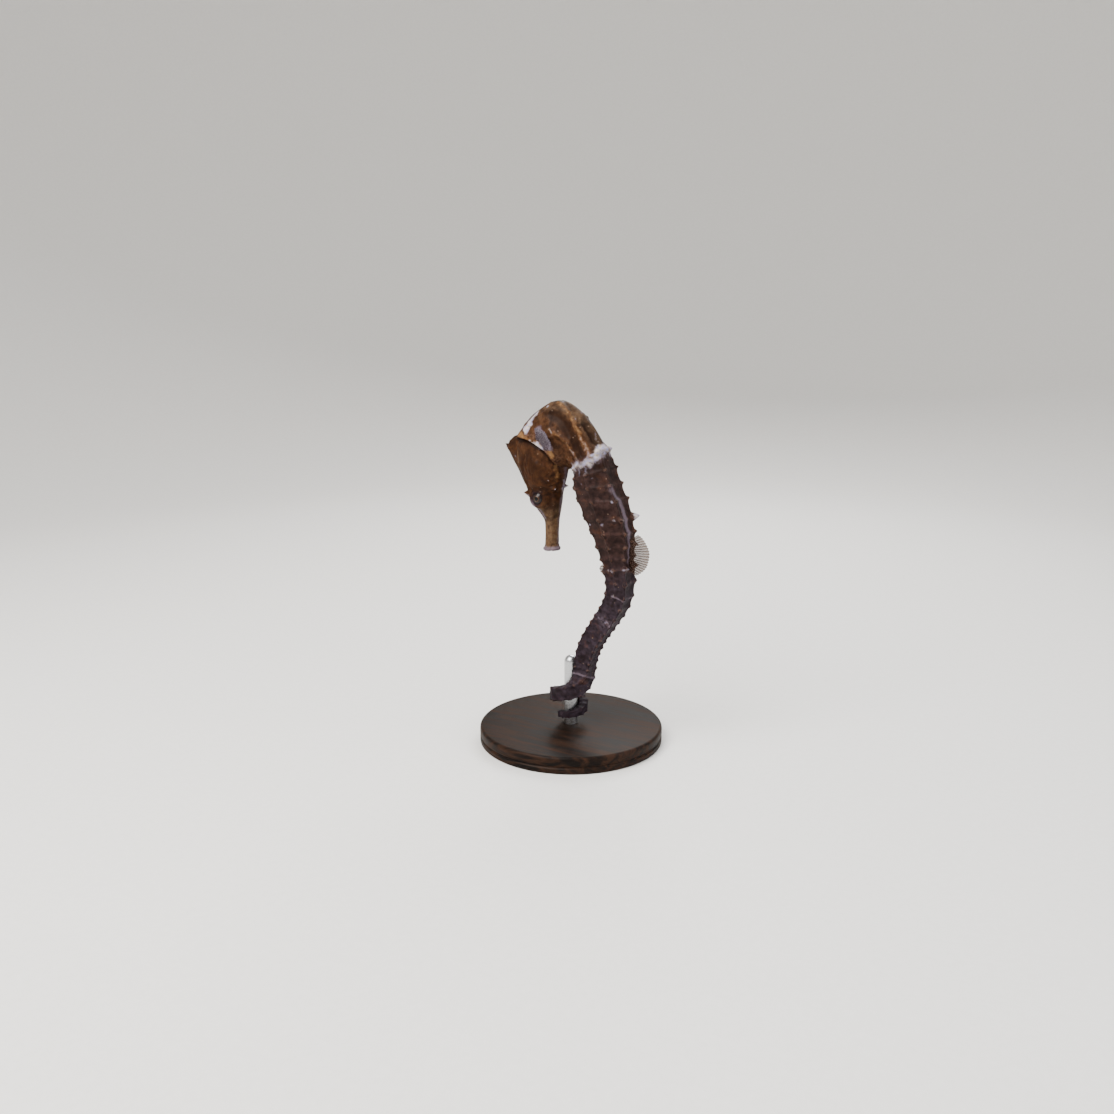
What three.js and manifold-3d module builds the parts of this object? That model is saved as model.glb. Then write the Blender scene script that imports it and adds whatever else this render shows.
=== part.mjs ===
// A lined seahorse (Hippocampus erectus) at life size, its tail wrapped round the rod of a plain display stand.
//
// Millimetres, +Z up. The animal faces -X, so its belly and snout are at -X, its back is at +X and its left
// side is at -Y. The origin is the centre of the base's underside, on the rod's axis.
//
// The body is one tube, measured in bony rings: 0 is the rim behind the gill covers, 0 to 11 the neck and
// trunk, 11 to 47 the tail, and below 0 is the head, down to the lips at -9. Each section lies between a belly
// point and a back point, and is shaped by seven ridges that run along the body.
import * as THREE from "three";
import { mergeVertices } from "three/addons/utils/BufferGeometryUtils.js";
import Module from "manifold-3d";

const wasm = await Module();
wasm.setup();

// ---------------------------------------------------------------- driving dimensions

const CUT = 0.3; // the gap between neighbouring pieces
const TRUNK_RINGS = 11;
const TAIL_RINGS = 36;
const LAST_RING = TRUNK_RINGS + TAIL_RINGS;

const base = { radius: 27, height: 5, edge: 0.8, sides: 48 };
const rod = { radius: 2, top: 26, sunk: 3, sides: 24 };

// The sections of the head, neck and trunk in the middle plane, from the lips to the vent: where each is in
// rings, its belly point and back point (x, z), and its full width.
const stations = [
  { name: "lips", ring: -9, belly: [-4.1, 57.5], back: [-8.9, 57.2], width: 4.2 },
  { name: "snout_end", ring: -8, belly: [-4.3, 59.4], back: [-8.5, 59.2], width: 3.7 },
  { name: "snout", ring: -7, belly: [-4.3, 62.6], back: [-8.4, 62.5], width: 3.6 },
  { name: "snout_root", ring: -6, belly: [-4.1, 66.0], back: [-8.8, 66.2], width: 4.3 },
  { name: "brow", ring: -5, belly: [-3.7, 69.4], back: [-11.2, 69.9], width: 6.8 },
  { name: "orbit", ring: -4, belly: [-3.1, 72.8], back: [-13.6, 73.7], width: 8.4 },
  { name: "cheek", ring: -2.6, belly: [-2.3, 76.2], back: [-15.8, 78.9], width: 10.0 },
  { name: "crown", ring: -1.2, belly: [-1.6, 78.6], back: [-17.6, 84.0], width: 10.6 },
  { name: "rim", ring: 0, belly: [-1.3, 79.9], back: [-17.0, 89.4], width: 10.4 },
  { name: "nape", ring: 1, belly: [-1.0, 80.7], back: [-12.3, 96.0], width: 10.2 },
  { name: "arch", ring: 2, belly: [-0.2, 81.0], back: [-3.6, 100.2], width: 10.0 },
  { name: "neck", ring: 3, belly: [0.6, 80.7], back: [4.9, 95.6], width: 9.8 },
  { name: "shoulder", ring: 4, belly: [0.9, 79.9], back: [10.8, 87.0], width: 10.2 },
  { name: "breast", ring: 5.5, belly: [0.8, 76.0], back: [14.0, 78.1], width: 11.2 },
  { name: "belly", ring: 7, belly: [2.9, 70.4], back: [17.0, 70.8], width: 11.6 },
  { name: "loin", ring: 9, belly: [7.0, 62.4], back: [18.8, 62.9], width: 9.8 },
  { name: "vent", ring: 11, belly: [11.3, 54.9], back: [18.6, 55.9], width: 7.2 },
];

// The tail: its thickness, the length of its rings, and its way down in the middle plane as arcs.
const tail = {
  thick: 6.2, // across its square section, behind the vent
  swell: 2, // rings over which the trunk narrows to it
  tip: 0.9,
  taper: 1.8, // how late the taper comes: 1 is an even cone
  firstRing: 3.05,
  lastRing: 1.45,
  arcs: [
    { length: 2, turn: 6 },
    { length: 13, turn: -47 }, // forwards, over the rod
    { length: 9, turn: 0 },
    { length: 13, turn: 33.2 }, // and back to upright
  ],
};
// From `start` along the tail it leans over to the animal's left, over a length `bend`, and winds down the rod;
// towards the tip it leans further, up to `tipLean`.
const wrap = { start: 33, bend: 12.5, lean: 71, tipLean: 79, clear: 0.35 };

// Relief on the rings: how far the skin sinks between them, and the height of the spines on each ridge, which
// are the keel and the lower, side and upper ridge of each flank.
const relief = {
  valley: 0.2,
  spine: { keel: 0.25, lower: 0.25, side: 0.3, upper: 0.35 },
  tall: 1.6, // every other trunk ring and every third tail ring has taller spines
};

// The eye and, round it, the bulge of the orbit.
const eye = { x: -8.7, y: 2.9, z: 72.4, radius: 2.2, orbit: 3, orbitY: 2.1 };

// The coronet is a cone with its top cut off, drawn out lengthwise and flattened sideways: its height above its
// seat and its sunk foot, the radii of its crest and foot, and the points along the crest.
const coronet = {
  seat: [-14.6, 83],
  height: 7,
  sunk: 1,
  crest: 1.1,
  foot: 3.2,
  long: 1.53,
  wide: 0.8,
  points: 5,
  point: 1.3,
  pointRadius: 0.8,
};

// ---------------------------------------------------------------- helpers

const clamp = THREE.MathUtils.clamp;
const lerp = THREE.MathUtils.lerp;
const rad = THREE.MathUtils.degToRad;
const smooth = (x, from, to) => THREE.MathUtils.smoothstep(x, from, to);

// A closed geometry with its shared points merged and its collapsed faces dropped, facing out.
function closed(geometry) {
  const bare = new THREE.BufferGeometry();
  bare.setAttribute("position", geometry.getAttribute("position"));
  bare.setIndex(geometry.index);
  const merged = mergeVertices(bare, 1e-4);
  const at = merged.getAttribute("position");
  const corner = [new THREE.Vector3(), new THREE.Vector3(), new THREE.Vector3()];
  const faces = [];
  let volume = 0;
  for (let i = 0; i < merged.index.count; i += 3) {
    const face = [0, 1, 2].map((k) => merged.index.getX(i + k));
    if (new Set(face).size < 3) continue;
    face.forEach((v, k) => corner[k].fromBufferAttribute(at, v));
    volume += corner[0].dot(corner[1].clone().cross(corner[2])) / 6;
    faces.push(face);
  }
  merged.setIndex(faces.flatMap(([a, b, c]) => (volume < 0 ? [a, c, b] : [a, b, c])));
  return merged;
}

function toSolid(geometry) {
  const g = closed(geometry);
  return new wasm.Manifold(
    new wasm.Mesh({
      numProp: 3,
      vertProperties: new Float32Array(g.getAttribute("position").array),
      triVerts: new Uint32Array(g.index.array),
    }),
  );
}

function toGeometry(solid) {
  const mesh = solid.getMesh();
  const g = new THREE.BufferGeometry();
  g.setAttribute("position", new THREE.BufferAttribute(mesh.vertProperties, 3));
  g.setIndex(new THREE.BufferAttribute(mesh.triVerts, 1));
  g.computeVertexNormals();
  return g;
}

// A geometry moved to `place`, with its +Y axis along `direction` and its Z axis as near across as it can be.
function aimed(geometry, place, direction, across = new THREE.Vector3(0, 1, 0)) {
  const y = direction.clone().normalize();
  const x = y.clone().cross(across).normalize();
  const turn = new THREE.Matrix4().makeBasis(x, y, x.clone().cross(y));
  return geometry.applyMatrix4(turn).translate(place.x, place.y, place.z);
}

const evenly = (from, to, count) => {
  return Array.from({ length: count + 1 }, (_, i) => from + ((to - from) * i) / count);
};

// ---------------------------------------------------------------- the body's centre line

// A smooth curve through the stations' values of one kind, read at any ring.
function throughStations(read) {
  const knots = stations.map((s) => s.ring);
  const values = stations.map(read);
  const slopes = values.map((v, i) => {
    const before = Math.max(0, i - 1);
    const after = Math.min(values.length - 1, i + 1);
    return (values[after] - values[before]) / (knots[after] - knots[before]);
  });
  return (ring) => {
    let i = 0;
    while (i < knots.length - 2 && ring > knots[i + 1]) i += 1;
    const span = knots[i + 1] - knots[i];
    const t = clamp((ring - knots[i]) / span, 0, 1);
    const t2 = t * t;
    const t3 = t2 * t;
    return (
      (2 * t3 - 3 * t2 + 1) * values[i] +
      (t3 - 2 * t2 + t) * span * slopes[i] +
      (3 * t2 - 2 * t3) * values[i + 1] +
      (t3 - t2) * span * slopes[i + 1]
    );
  };
}
const bellyX = throughStations((s) => s.belly[0]);
const bellyZ = throughStations((s) => s.belly[1]);
const backX = throughStations((s) => s.back[0]);
const backZ = throughStations((s) => s.back[1]);
const width = throughStations((s) => s.width);

// Length along the tail from the vent to the end of its ring `n`.
const tailLength = (n) => tail.firstRing * n - ((tail.firstRing - tail.lastRing) * n * n) / (2 * TAIL_RINGS);
const TAIL_LENGTH = tailLength(TAIL_RINGS);
const tailThickness = (length) => {
  const t = clamp(length / TAIL_LENGTH, 0, 1);
  return tail.thick * (1 - (1 - tail.tip / tail.thick) * t ** tail.taper);
};

// The tail's centre line, walked in short steps: the arcs first, and then the turns round the rod.
const STEP = 0.05;
const tailWalk = (() => {
  const vent = stations.at(-1);
  const place = new THREE.Vector3((vent.belly[0] + vent.back[0]) / 2, 0, (vent.belly[1] + vent.back[1]) / 2);
  const across = Math.atan2(vent.back[1] - vent.belly[1], vent.back[0] - vent.belly[0]);
  let heading = across - Math.PI / 2;
  const walk = [];
  for (const arc of tail.arcs) {
    const steps = Math.round(arc.length / STEP);
    for (let i = 0; i < steps; i += 1) {
      const along = new THREE.Vector3(Math.cos(heading), 0, Math.sin(heading));
      const dorsal = new THREE.Vector3(-Math.sin(heading), 0, Math.cos(heading));
      walk.push({ place: place.clone(), along, dorsal });
      place.addScaledVector(along, STEP);
      heading += rad(arc.turn) / steps;
    }
  }
  // Its distance from the rod's axis: the arcs' own, and then touching.
  const reachAt = (length) => {
    const onArcs = walk[Math.min(Math.round(length / STEP), walk.length - 1)].place.x;
    const touching = rod.radius + wrap.clear + tailThickness(length) / 2;
    return lerp(onArcs, touching, smooth(length, wrap.start, wrap.start + wrap.bend));
  };
  const wound = walk.slice(0, Math.round(wrap.start / STEP));
  let height = walk[wound.length].place.z;
  let round = 0; // the angle gone round the rod
  while (wound.length <= Math.round(TAIL_LENGTH / STEP)) {
    const length = wound.length * STEP;
    const bent = smooth(length, wrap.start, wrap.start + wrap.bend);
    const further = smooth(length, wrap.start + wrap.bend, TAIL_LENGTH);
    const lean = rad(lerp(wrap.lean, wrap.tipLean, further)) * bent;
    const reach = reachAt(length);
    const inwards = (reachAt(length + STEP) - reach) / STEP;
    const onwards = Math.sqrt(1 - inwards ** 2);
    const out = new THREE.Vector3(Math.cos(round), -Math.sin(round), 0);
    const sideways = new THREE.Vector3(-Math.sin(round), -Math.cos(round), 0);
    const along = out.clone().multiplyScalar(inwards);
    along.addScaledVector(sideways, Math.sin(lean) * onwards).setZ(-Math.cos(lean) * onwards);
    wound.push({ place: out.clone().multiplyScalar(reach).setZ(height), along, dorsal: out });
    round += (Math.sin(lean) * onwards * STEP) / reach;
    height -= Math.cos(lean) * onwards * STEP;
  }
  return wound;
})();

// The section at a ring position: its centre, its directions tailwards, to the back and to the animal's left,
// and half its depth and half its width.
function frameAt(ring) {
  if (ring <= TRUNK_RINGS) {
    const belly = new THREE.Vector3(bellyX(ring), 0, bellyZ(ring));
    const back = new THREE.Vector3(backX(ring), 0, backZ(ring));
    const dorsal = back.clone().sub(belly).normalize();
    const left = new THREE.Vector3(0, -1, 0);
    const centre = belly.clone().add(back).multiplyScalar(0.5);
    const along = dorsal.clone().cross(left);
    return { centre, along, dorsal, left, halfDepth: belly.distanceTo(back) / 2, halfWidth: width(ring) / 2 };
  }
  const length = tailLength(ring - TRUNK_RINGS);
  const step = tailWalk[Math.min(Math.round(length / STEP), tailWalk.length - 1)];
  const left = step.along.clone().cross(step.dorsal).normalize();
  const dorsal = left.clone().cross(step.along).normalize();
  const vent = frameAt(TRUNK_RINGS);
  const narrowed = smooth(ring, TRUNK_RINGS, TRUNK_RINGS + tail.swell);
  const halfDepth = lerp(vent.halfDepth, tailThickness(length) / 2, narrowed);
  const halfWidth = lerp(vent.halfWidth, tailThickness(length) / 2, narrowed);
  return { centre: step.place.clone(), along: step.along.clone(), dorsal, left, halfDepth, halfWidth };
}

// ---------------------------------------------------------------- the sections' shapes

// Each shape gives its ridges as [towards the back, to the left] in half depths and half widths, where the
// keel and the middle of the back come, and how far the skin bulges between ridges (below nought, it sinks).
const shapes = {
  snout: { keel: -1, lower: [-0.62, 0.78], side: [0.18, 0.97], upper: [0.82, 0.5], back: 1, bulge: 0.06 },
  head: { keel: -1, lower: [-0.66, 0.6], side: [0.0, 1.0], upper: [0.74, 0.62], back: 1, bulge: 0.06 },
  neck: { keel: -1, lower: [-0.62, 0.62], side: [0.02, 1.0], upper: [0.78, 0.64], back: 1, bulge: 0.02 },
  trunk: { keel: -1, lower: [-0.62, 0.72], side: [0.12, 1.0], upper: [0.96, 0.6], back: 0.94, bulge: -0.04 },
  tail: { keel: -0.88, lower: [-0.94, 0.94], side: [0, 0.92], upper: [0.94, 0.94], back: 0.9, bulge: -0.02 },
};

function blended(a, b, t) {
  const mix = (p, q) => p.map((x, i) => lerp(x, q[i], t));
  return {
    keel: lerp(a.keel, b.keel, t),
    lower: mix(a.lower, b.lower),
    side: mix(a.side, b.side),
    upper: mix(a.upper, b.upper),
    back: lerp(a.back, b.back, t),
    bulge: lerp(a.bulge, b.bulge, t),
  };
}

function shapeAt(ring) {
  if (ring < -3) return blended(shapes.snout, shapes.head, smooth(ring, -6.5, -3));
  if (ring < 3) return blended(shapes.head, shapes.neck, smooth(ring, -0.2, 1));
  if (ring < 7) return blended(shapes.neck, shapes.trunk, smooth(ring, 3, 5.5));
  return blended(shapes.trunk, shapes.tail, smooth(ring, 8.5, 13));
}

const RIDGES = ["keel", "lower", "side", "upper", "upper", "side", "lower"];

// The corner `h` of a section, counted in half ridges: even numbers are the ridges, from 0 at the keel up the
// left flank to 6, the middle of the back at 7, and down the right flank from 8.
function cornerAt(shape, h) {
  if (h % 14 === 0) return [shape.keel, 0];
  if (h === 7) return [shape.back, 0];
  if (h % 2 === 0) {
    const [dorsal, left] = shape[RIDGES[h / 2]];
    return [dorsal, h > 7 ? -left : left];
  }
  const a = cornerAt(shape, h - 1);
  const b = cornerAt(shape, h + 1);
  const swell = (1 + shape.bulge) / 2;
  return [(a[0] + b[0]) * swell, (a[1] + b[1]) * swell];
}

// How far a spine stands out of the ridge `k` at the crest of a ring.
function spineAt(ring, k) {
  const number = Math.floor(ring) + 1;
  const kind = RIDGES[k];
  const onTail = number > TRUNK_RINGS;
  const tall = onTail ? (number - TRUNK_RINGS) % 3 === 1 : number % 2 === 1;
  let height = relief.spine[kind] * (tall ? relief.tall : 1);
  if (onTail) height *= ((frameAt(ring).halfDepth * 2) / tail.thick) * (1 - 0.6 * smooth(ring, 24, 30));
  if (kind === "keel") height *= 1 - smooth(ring, 10, 12);
  if (kind === "side") height *= 1 - smooth(ring, 12, 16);
  return height;
}

// How far a point stands off the plain section: the skin sinks between rings, and spines rise on the ridges.
function reliefAt(ring, h) {
  if (ring < 0) return 0;
  const crest = 1 - Math.abs(2 * (ring - Math.floor(ring)) - 1);
  const size = ring > TRUNK_RINGS ? (frameAt(ring).halfDepth * 2) / tail.thick : 1;
  const sink = relief.valley * size * (smooth(crest, 0, 0.7) - 1);
  return sink + (h % 2 === 0 ? spineAt(ring, h / 2) * smooth(crest, 0.6, 1) : 0);
}

// How far apart rings stand at `d` towards the back, as a share of their usual spacing: they crowd together
// under the throat, and relief fades with them.
function spacingAt(ring, d) {
  if (ring < 0 || ring > 6) return 1;
  const at = (r) => {
    const f = frameAt(r);
    return f.centre.addScaledVector(f.dorsal, d);
  };
  return clamp(at(ring - 0.25).distanceTo(at(ring + 0.25)) / 1.8, 0, 1);
}

// A point of the skin: `around` runs from 0 to 14 in half ridges, `grow` is added all round, and `shift` moves
// the whole section tailwards.
function skinPoint(ring, around, grow = 0, shift = 0) {
  const frame = frameAt(ring);
  const shape = shapeAt(ring);
  const h = Math.floor(around) % 14;
  const t = around - Math.floor(around);
  const from = cornerAt(shape, h);
  const to = cornerAt(shape, h + 1);
  const swell = 1 + shape.bulge * 2 * t * (1 - t);
  const d = lerp(from[0], to[0], t) * swell * frame.halfDepth;
  const l = lerp(from[1], to[1], t) * swell * frame.halfWidth;
  const plain = Math.hypot(d, l);
  const stand = t === 0 ? reliefAt(ring, h) * spacingAt(ring, d) : 0;
  const scale = (plain + stand + grow) / plain;
  return frame.centre
    .addScaledVector(frame.dorsal, d * scale)
    .addScaledVector(frame.left, l * scale)
    .addScaledVector(frame.along, shift);
}

// A closed length of the body through the sections `rows`, each end drawn in by half a cut. A sphere's
// parallels become the sections and its poles the flat ends.
function bodyLength(rows, columns, grow = 0) {
  const g = new THREE.SphereGeometry(1, columns, rows.length + 1);
  const at = g.getAttribute("position");
  for (let i = 0; i < at.count; i += 1) {
    const parallel = Math.floor(i / (columns + 1)) - 1;
    const row = clamp(parallel, 0, rows.length - 1);
    const column = (i % (columns + 1)) % columns;
    const shift = row === 0 ? CUT / 2 : row === rows.length - 1 ? -CUT / 2 : 0;
    const p =
      parallel === row
        ? skinPoint(rows[row], (column * 14) / columns, grow, shift)
        : frameAt(rows[row]).centre.addScaledVector(frameAt(rows[row]).along, shift);
    at.setXYZ(i, p.x, p.y, p.z);
  }
  return closed(g);
}

// The sections that a length of the ringed body needs, from one ring boundary to another.
function ringedRows(from, to) {
  const rows = [];
  for (let n = from; n < to; n += 1) {
    if (n < 4) rows.push(n, n + 0.25, n + 0.5, n + 0.75);
    else if (n < TRUNK_RINGS + 12) rows.push(n, n + 0.3, n + 0.5, n + 0.7);
    else rows.push(n, n + 0.5);
  }
  return [...rows, to];
}

// ---------------------------------------------------------------- materials

const material = (color, roughness = 0.6, metalness = 0) =>
  new THREE.MeshStandardMaterial({ color, roughness, metalness });
const skin = material(0x4a3022, 0.55);
const headSkin = material(0x6e4325, 0.5);
const finSkin = material(0x6a4a30, 0.4);
const eyeball = material(0x1b1410, 0.1);
const blackWood = material(0x16130f, 0.45);
const steel = material(0xb9bcc0, 0.3, 1);

const seahorse = new THREE.Group();

function add(name, geometry, look) {
  const mesh = new THREE.Mesh(geometry, look);
  mesh.name = name;
  seahorse.add(mesh);
}

// ---------------------------------------------------------------- head

const SIDES = [
  ["left", -1],
  ["right", 1],
];
const HEAD_COLUMNS = 28;

const cone = (place, direction, height, radius) =>
  toSolid(aimed(new THREE.ConeGeometry(radius, height, 7).translate(0, height / 2, 0), place, direction));

// A spine standing on the skin at a ring and a place round it, its foot sunk in, leaning by `lean` (x, z).
function spineOn(ring, around, height, radius, lean = [0, 0]) {
  const foot = skinPoint(ring, around);
  const out = foot.clone().sub(frameAt(ring).centre).normalize();
  foot.addScaledVector(out, -0.8);
  return cone(foot, out.add(new THREE.Vector3(lean[0], 0, lean[1])), height + 0.8, radius);
}

function headSolid() {
  let solid = toSolid(bodyLength(evenly(-6, 0, 12), HEAD_COLUMNS));
  const ball = (radius, y) => {
    const sphere = new THREE.SphereGeometry(radius, 18, 12).rotateX(Math.PI / 2);
    return toSolid(sphere.translate(eye.x, y, eye.z));
  };
  for (const [, side] of SIDES) {
    const flank = (around) => (side < 0 ? around : 14 - around);
    solid = solid.add(ball(eye.orbit, side * eye.orbitY));
    solid = solid.add(spineOn(-4.1, flank(5.8), 2.2, 0.9, [-0.3, 0.1])); // over the eye
    solid = solid.add(spineOn(-3.1, flank(2), 1.5, 0.8, [0.2, 0])); // on the cheek
  }
  solid = solid.add(spineOn(-5.2, 7, 0.8, 0.8, [0, -0.1])); // on the nose
  for (const [, side] of SIDES) solid = solid.subtract(ball(eye.radius + CUT, side * eye.y));
  return solid;
}

// The coronet: a low wedge on the crown, steep behind and sloping down the forehead, with five blunt points
// along its crest. It is seated a thin cut above the head.
function coronetSolid() {
  const { seat, height, sunk, crest, long, wide, points, point, pointRadius } = coronet;
  const foot = new THREE.Vector3(seat[0], 0, seat[1]);
  const axis = new THREE.Vector3(-0.86, 0, 0.51).normalize();
  const forward = new THREE.Vector3(-0.51, 0, -0.86).normalize();
  const side = new THREE.Vector3(0, -1, 0);
  const wedge = new THREE.CylinderGeometry(crest, coronet.foot, height + sunk, 14);
  wedge.scale(long, 1, wide).translate(0, (height - sunk) / 2, 0);
  let solid = toSolid(aimed(wedge, foot, axis));
  for (let i = 0; i < points; i += 1) {
    const turn = rad(360 / points) * i;
    const out = forward.clone().multiplyScalar(Math.cos(turn) * long);
    out.addScaledVector(side, Math.sin(turn) * wide);
    const start = foot.clone().addScaledVector(axis, height - 0.6).addScaledVector(out, crest * 0.5);
    solid = solid.add(cone(start, axis.clone().addScaledVector(out, 0.3), point + 0.6, pointRadius));
  }
  return solid.subtract(toSolid(bodyLength(evenly(-4, 1, 14), HEAD_COLUMNS, CUT)));
}

add("mouth", bodyLength([-9, -8.7, -8.35, -8], HEAD_COLUMNS), headSkin);
add("snout", bodyLength([-8, -7.5, -7, -6.5, -6], HEAD_COLUMNS), headSkin);
add("head", toGeometry(headSolid()), headSkin);
add("coronet", toGeometry(coronetSolid()), headSkin);
for (const [name, side] of SIDES) {
  const ball = new THREE.SphereGeometry(eye.radius, 16, 10).rotateX(Math.PI / 2);
  add(`eye_${name}`, ball.translate(eye.x, side * eye.y, eye.z), eyeball);
}

// ---------------------------------------------------------------- neck, trunk and tail

const COLUMNS = 14;
const lengths = [
  ["neck_1", 0, 2],
  ["neck_2", 2, 4],
  ["trunk_1", 4, 6],
  ["trunk_2", 6, 8],
  ["trunk_3", 8, 11],
];
const tailCuts = [11, 15, 19, 23, 26, 29, 32, 35, 38, 41, 44, LAST_RING];
for (let i = 0; i + 1 < tailCuts.length; i += 1) {
  lengths.push([`tail_${String(i + 1).padStart(2, "0")}`, tailCuts[i], tailCuts[i + 1]]);
}
for (const [name, from, to] of lengths) add(name, bodyLength(ringedRows(from, to), COLUMNS), skin);

// ---------------------------------------------------------------- fins

const FIN_THICK = 0.6;

// A fan of rays as a flat outline: `reach` out from the origin over `spread` degrees, scalloped between rays.
function fanShape(reach, spread, rays, root) {
  const shape = new THREE.Shape();
  const start = rad(90 - spread / 2);
  const end = rad(90 + spread / 2);
  shape.moveTo(root * Math.cos(start), root * Math.sin(start));
  evenly(start, end, 2 * rays).forEach((angle, i) => {
    const out = reach * (i % 2 ? 1 : 0.96) * (1 - 0.16 * Math.abs(i / rays - 1) ** 2);
    shape.lineTo(out * Math.cos(angle), out * Math.sin(angle));
  });
  shape.lineTo(root * Math.cos(end), root * Math.sin(end));
  return shape;
}

// A flat fan stood on the body at `place`, opening along `out`, its plane square to `normal`.
function fin(outline, place, out, normal) {
  const g = new THREE.ExtrudeGeometry(outline, { depth: FIN_THICK, bevelEnabled: false });
  return toSolid(aimed(g.translate(0, 0, -FIN_THICK / 2), place, out, normal));
}

// The body grown by a cut, for trimming the fins' roots to the skin.
const grown = (from, to) => toSolid(bodyLength(ringedRows(from, to), COLUMNS, CUT));

const acrossY = new THREE.Vector3(0, 1, 0);
const dorsalFoot = new THREE.Vector3(11.6, 0, 58.4);
const dorsalFin = fin(fanShape(12.8, 66, 18, 4), dorsalFoot, new THREE.Vector3(1, 0, -0.03), acrossY);
add("dorsal_fin", toGeometry(dorsalFin.subtract(grown(7, 14))), finSkin);

const analFoot = new THREE.Vector3(16.5, 0, 53.8);
const analFin = fin(fanShape(7.4, 26, 4, 2), analFoot, new THREE.Vector3(-0.98, 0, -0.1), acrossY);
add("anal_fin", toGeometry(analFin.subtract(grown(9, 14))), finSkin);

for (const [name, side] of SIDES) {
  const { along, dorsal } = frameAt(0.8);
  const outwards = new THREE.Vector3(0, side, 0);
  const out = along.multiplyScalar(0.92).addScaledVector(outwards, 0.4).normalize();
  const foot = skinPoint(0.8, side < 0 ? 4 : 10).addScaledVector(out, -2.2).addScaledVector(outwards, 0.2);
  const fan = fin(fanShape(8.2, 70, 15, 1.2), foot, out, dorsal.clone().cross(out));
  add(`pectoral_fin_${name}`, toGeometry(fan.subtract(grown(0, 4))), finSkin);
}

// ---------------------------------------------------------------- stand

const lathed = (points, sides) => closed(new THREE.LatheGeometry(points, sides).rotateX(Math.PI / 2));

// The base is turned, with a blind hole that the rod stands in.
const holeFloor = base.height - rod.sunk;
const outline = new THREE.Path();
outline.moveTo(0, 0);
outline.lineTo(base.radius - base.edge, 0);
outline.lineTo(base.radius, base.edge);
outline.lineTo(base.radius, base.height - base.edge);
outline.lineTo(base.radius - base.edge, base.height);
outline.lineTo(rod.radius + CUT, base.height);
outline.lineTo(rod.radius + CUT, holeFloor);
outline.lineTo(0, holeFloor);
add("stand_base", lathed(outline.getPoints(), base.sides), blackWood);

const bar = new THREE.Path();
bar.moveTo(0, holeFloor + CUT);
bar.lineTo(rod.radius, holeFloor + CUT);
bar.absarc(0, rod.top - rod.radius, rod.radius, 0, Math.PI / 2);
add("stand_rod", lathed(bar.getPoints(4), rod.sides), steel);

export default seahorse;
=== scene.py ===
# %% [markdown]
# # A lined seahorse on a display stand
#
# This lesson builds the looks of a life-size museum model: a lined seahorse that hangs its head over its
# chest and holds the rod of a small turned stand with its tail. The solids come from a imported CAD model.
# They stay as they are, and each new piece takes the place of the solids it stands for.

# %% Load the frame
import math

import bpy
import numpy as np
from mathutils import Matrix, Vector


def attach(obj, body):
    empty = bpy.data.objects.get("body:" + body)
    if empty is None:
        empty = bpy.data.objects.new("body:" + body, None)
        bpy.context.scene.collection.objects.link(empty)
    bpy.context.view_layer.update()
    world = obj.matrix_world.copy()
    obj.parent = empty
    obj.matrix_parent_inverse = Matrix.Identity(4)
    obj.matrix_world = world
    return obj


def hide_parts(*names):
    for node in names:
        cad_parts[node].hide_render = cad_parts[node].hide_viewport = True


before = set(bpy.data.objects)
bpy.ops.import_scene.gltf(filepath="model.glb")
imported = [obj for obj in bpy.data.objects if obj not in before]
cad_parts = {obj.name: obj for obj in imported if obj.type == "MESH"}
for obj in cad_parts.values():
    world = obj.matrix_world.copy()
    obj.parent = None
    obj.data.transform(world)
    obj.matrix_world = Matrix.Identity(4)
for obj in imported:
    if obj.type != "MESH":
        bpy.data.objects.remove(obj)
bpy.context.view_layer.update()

MM = 0.001

# %% [markdown]
# ## The camera
#
# The model is seen from its left and a little from behind, and from slightly above. The camera stands a
# third of a metre away with a lens about as long as the sensor is wide, so the animal is small in the
# frame.

# %% Camera
VIEW = {"azimuth": 30.0, "elevation": 13.0, "distance": 0.324, "target": (-0.0048, 0.0, 0.0549)}
LENS, SENSOR, NEAREST = 36.1, 36.0, 0.005


def direction(azimuth, elevation):
    """The unit vector from the model to a viewer."""
    a = math.radians(azimuth)
    e = math.radians(elevation)
    return Vector((math.sin(a) * math.cos(e), -math.cos(a) * math.cos(e), math.sin(e)))


towards = direction(VIEW["azimuth"], VIEW["elevation"])
place = Vector(VIEW["target"]) + towards * VIEW["distance"]
bpy.ops.object.camera_add(location=place, rotation=towards.to_track_quat("Z", "Y").to_euler())
camera = bpy.context.object
camera.name = "camera"
camera.data.lens = LENS
camera.data.sensor_width = SENSOR
camera.data.clip_start = NEAREST
bpy.context.scene.camera = camera
print("camera at", [round(x, 4) for x in place])

# %% [markdown]
# ## The course of the body
#
# A seahorse wears a coat of bony rings, and the rings are a good ruler: here ring 0 is the rim behind the
# gill covers, 1 to 11 are the neck and trunk, 12 to 47 the tail, and the head counts backwards to the
# lips at -9. Each row of the table is one section through the body: where its belly and back are in the
# middle plane, and how wide it is. A smooth curve through the rows gives any section between them. A
# Bezier curve with a bevel could make a tube too, but it can't turn its sections sharply under the throat
# as a bowed neck does.

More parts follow.
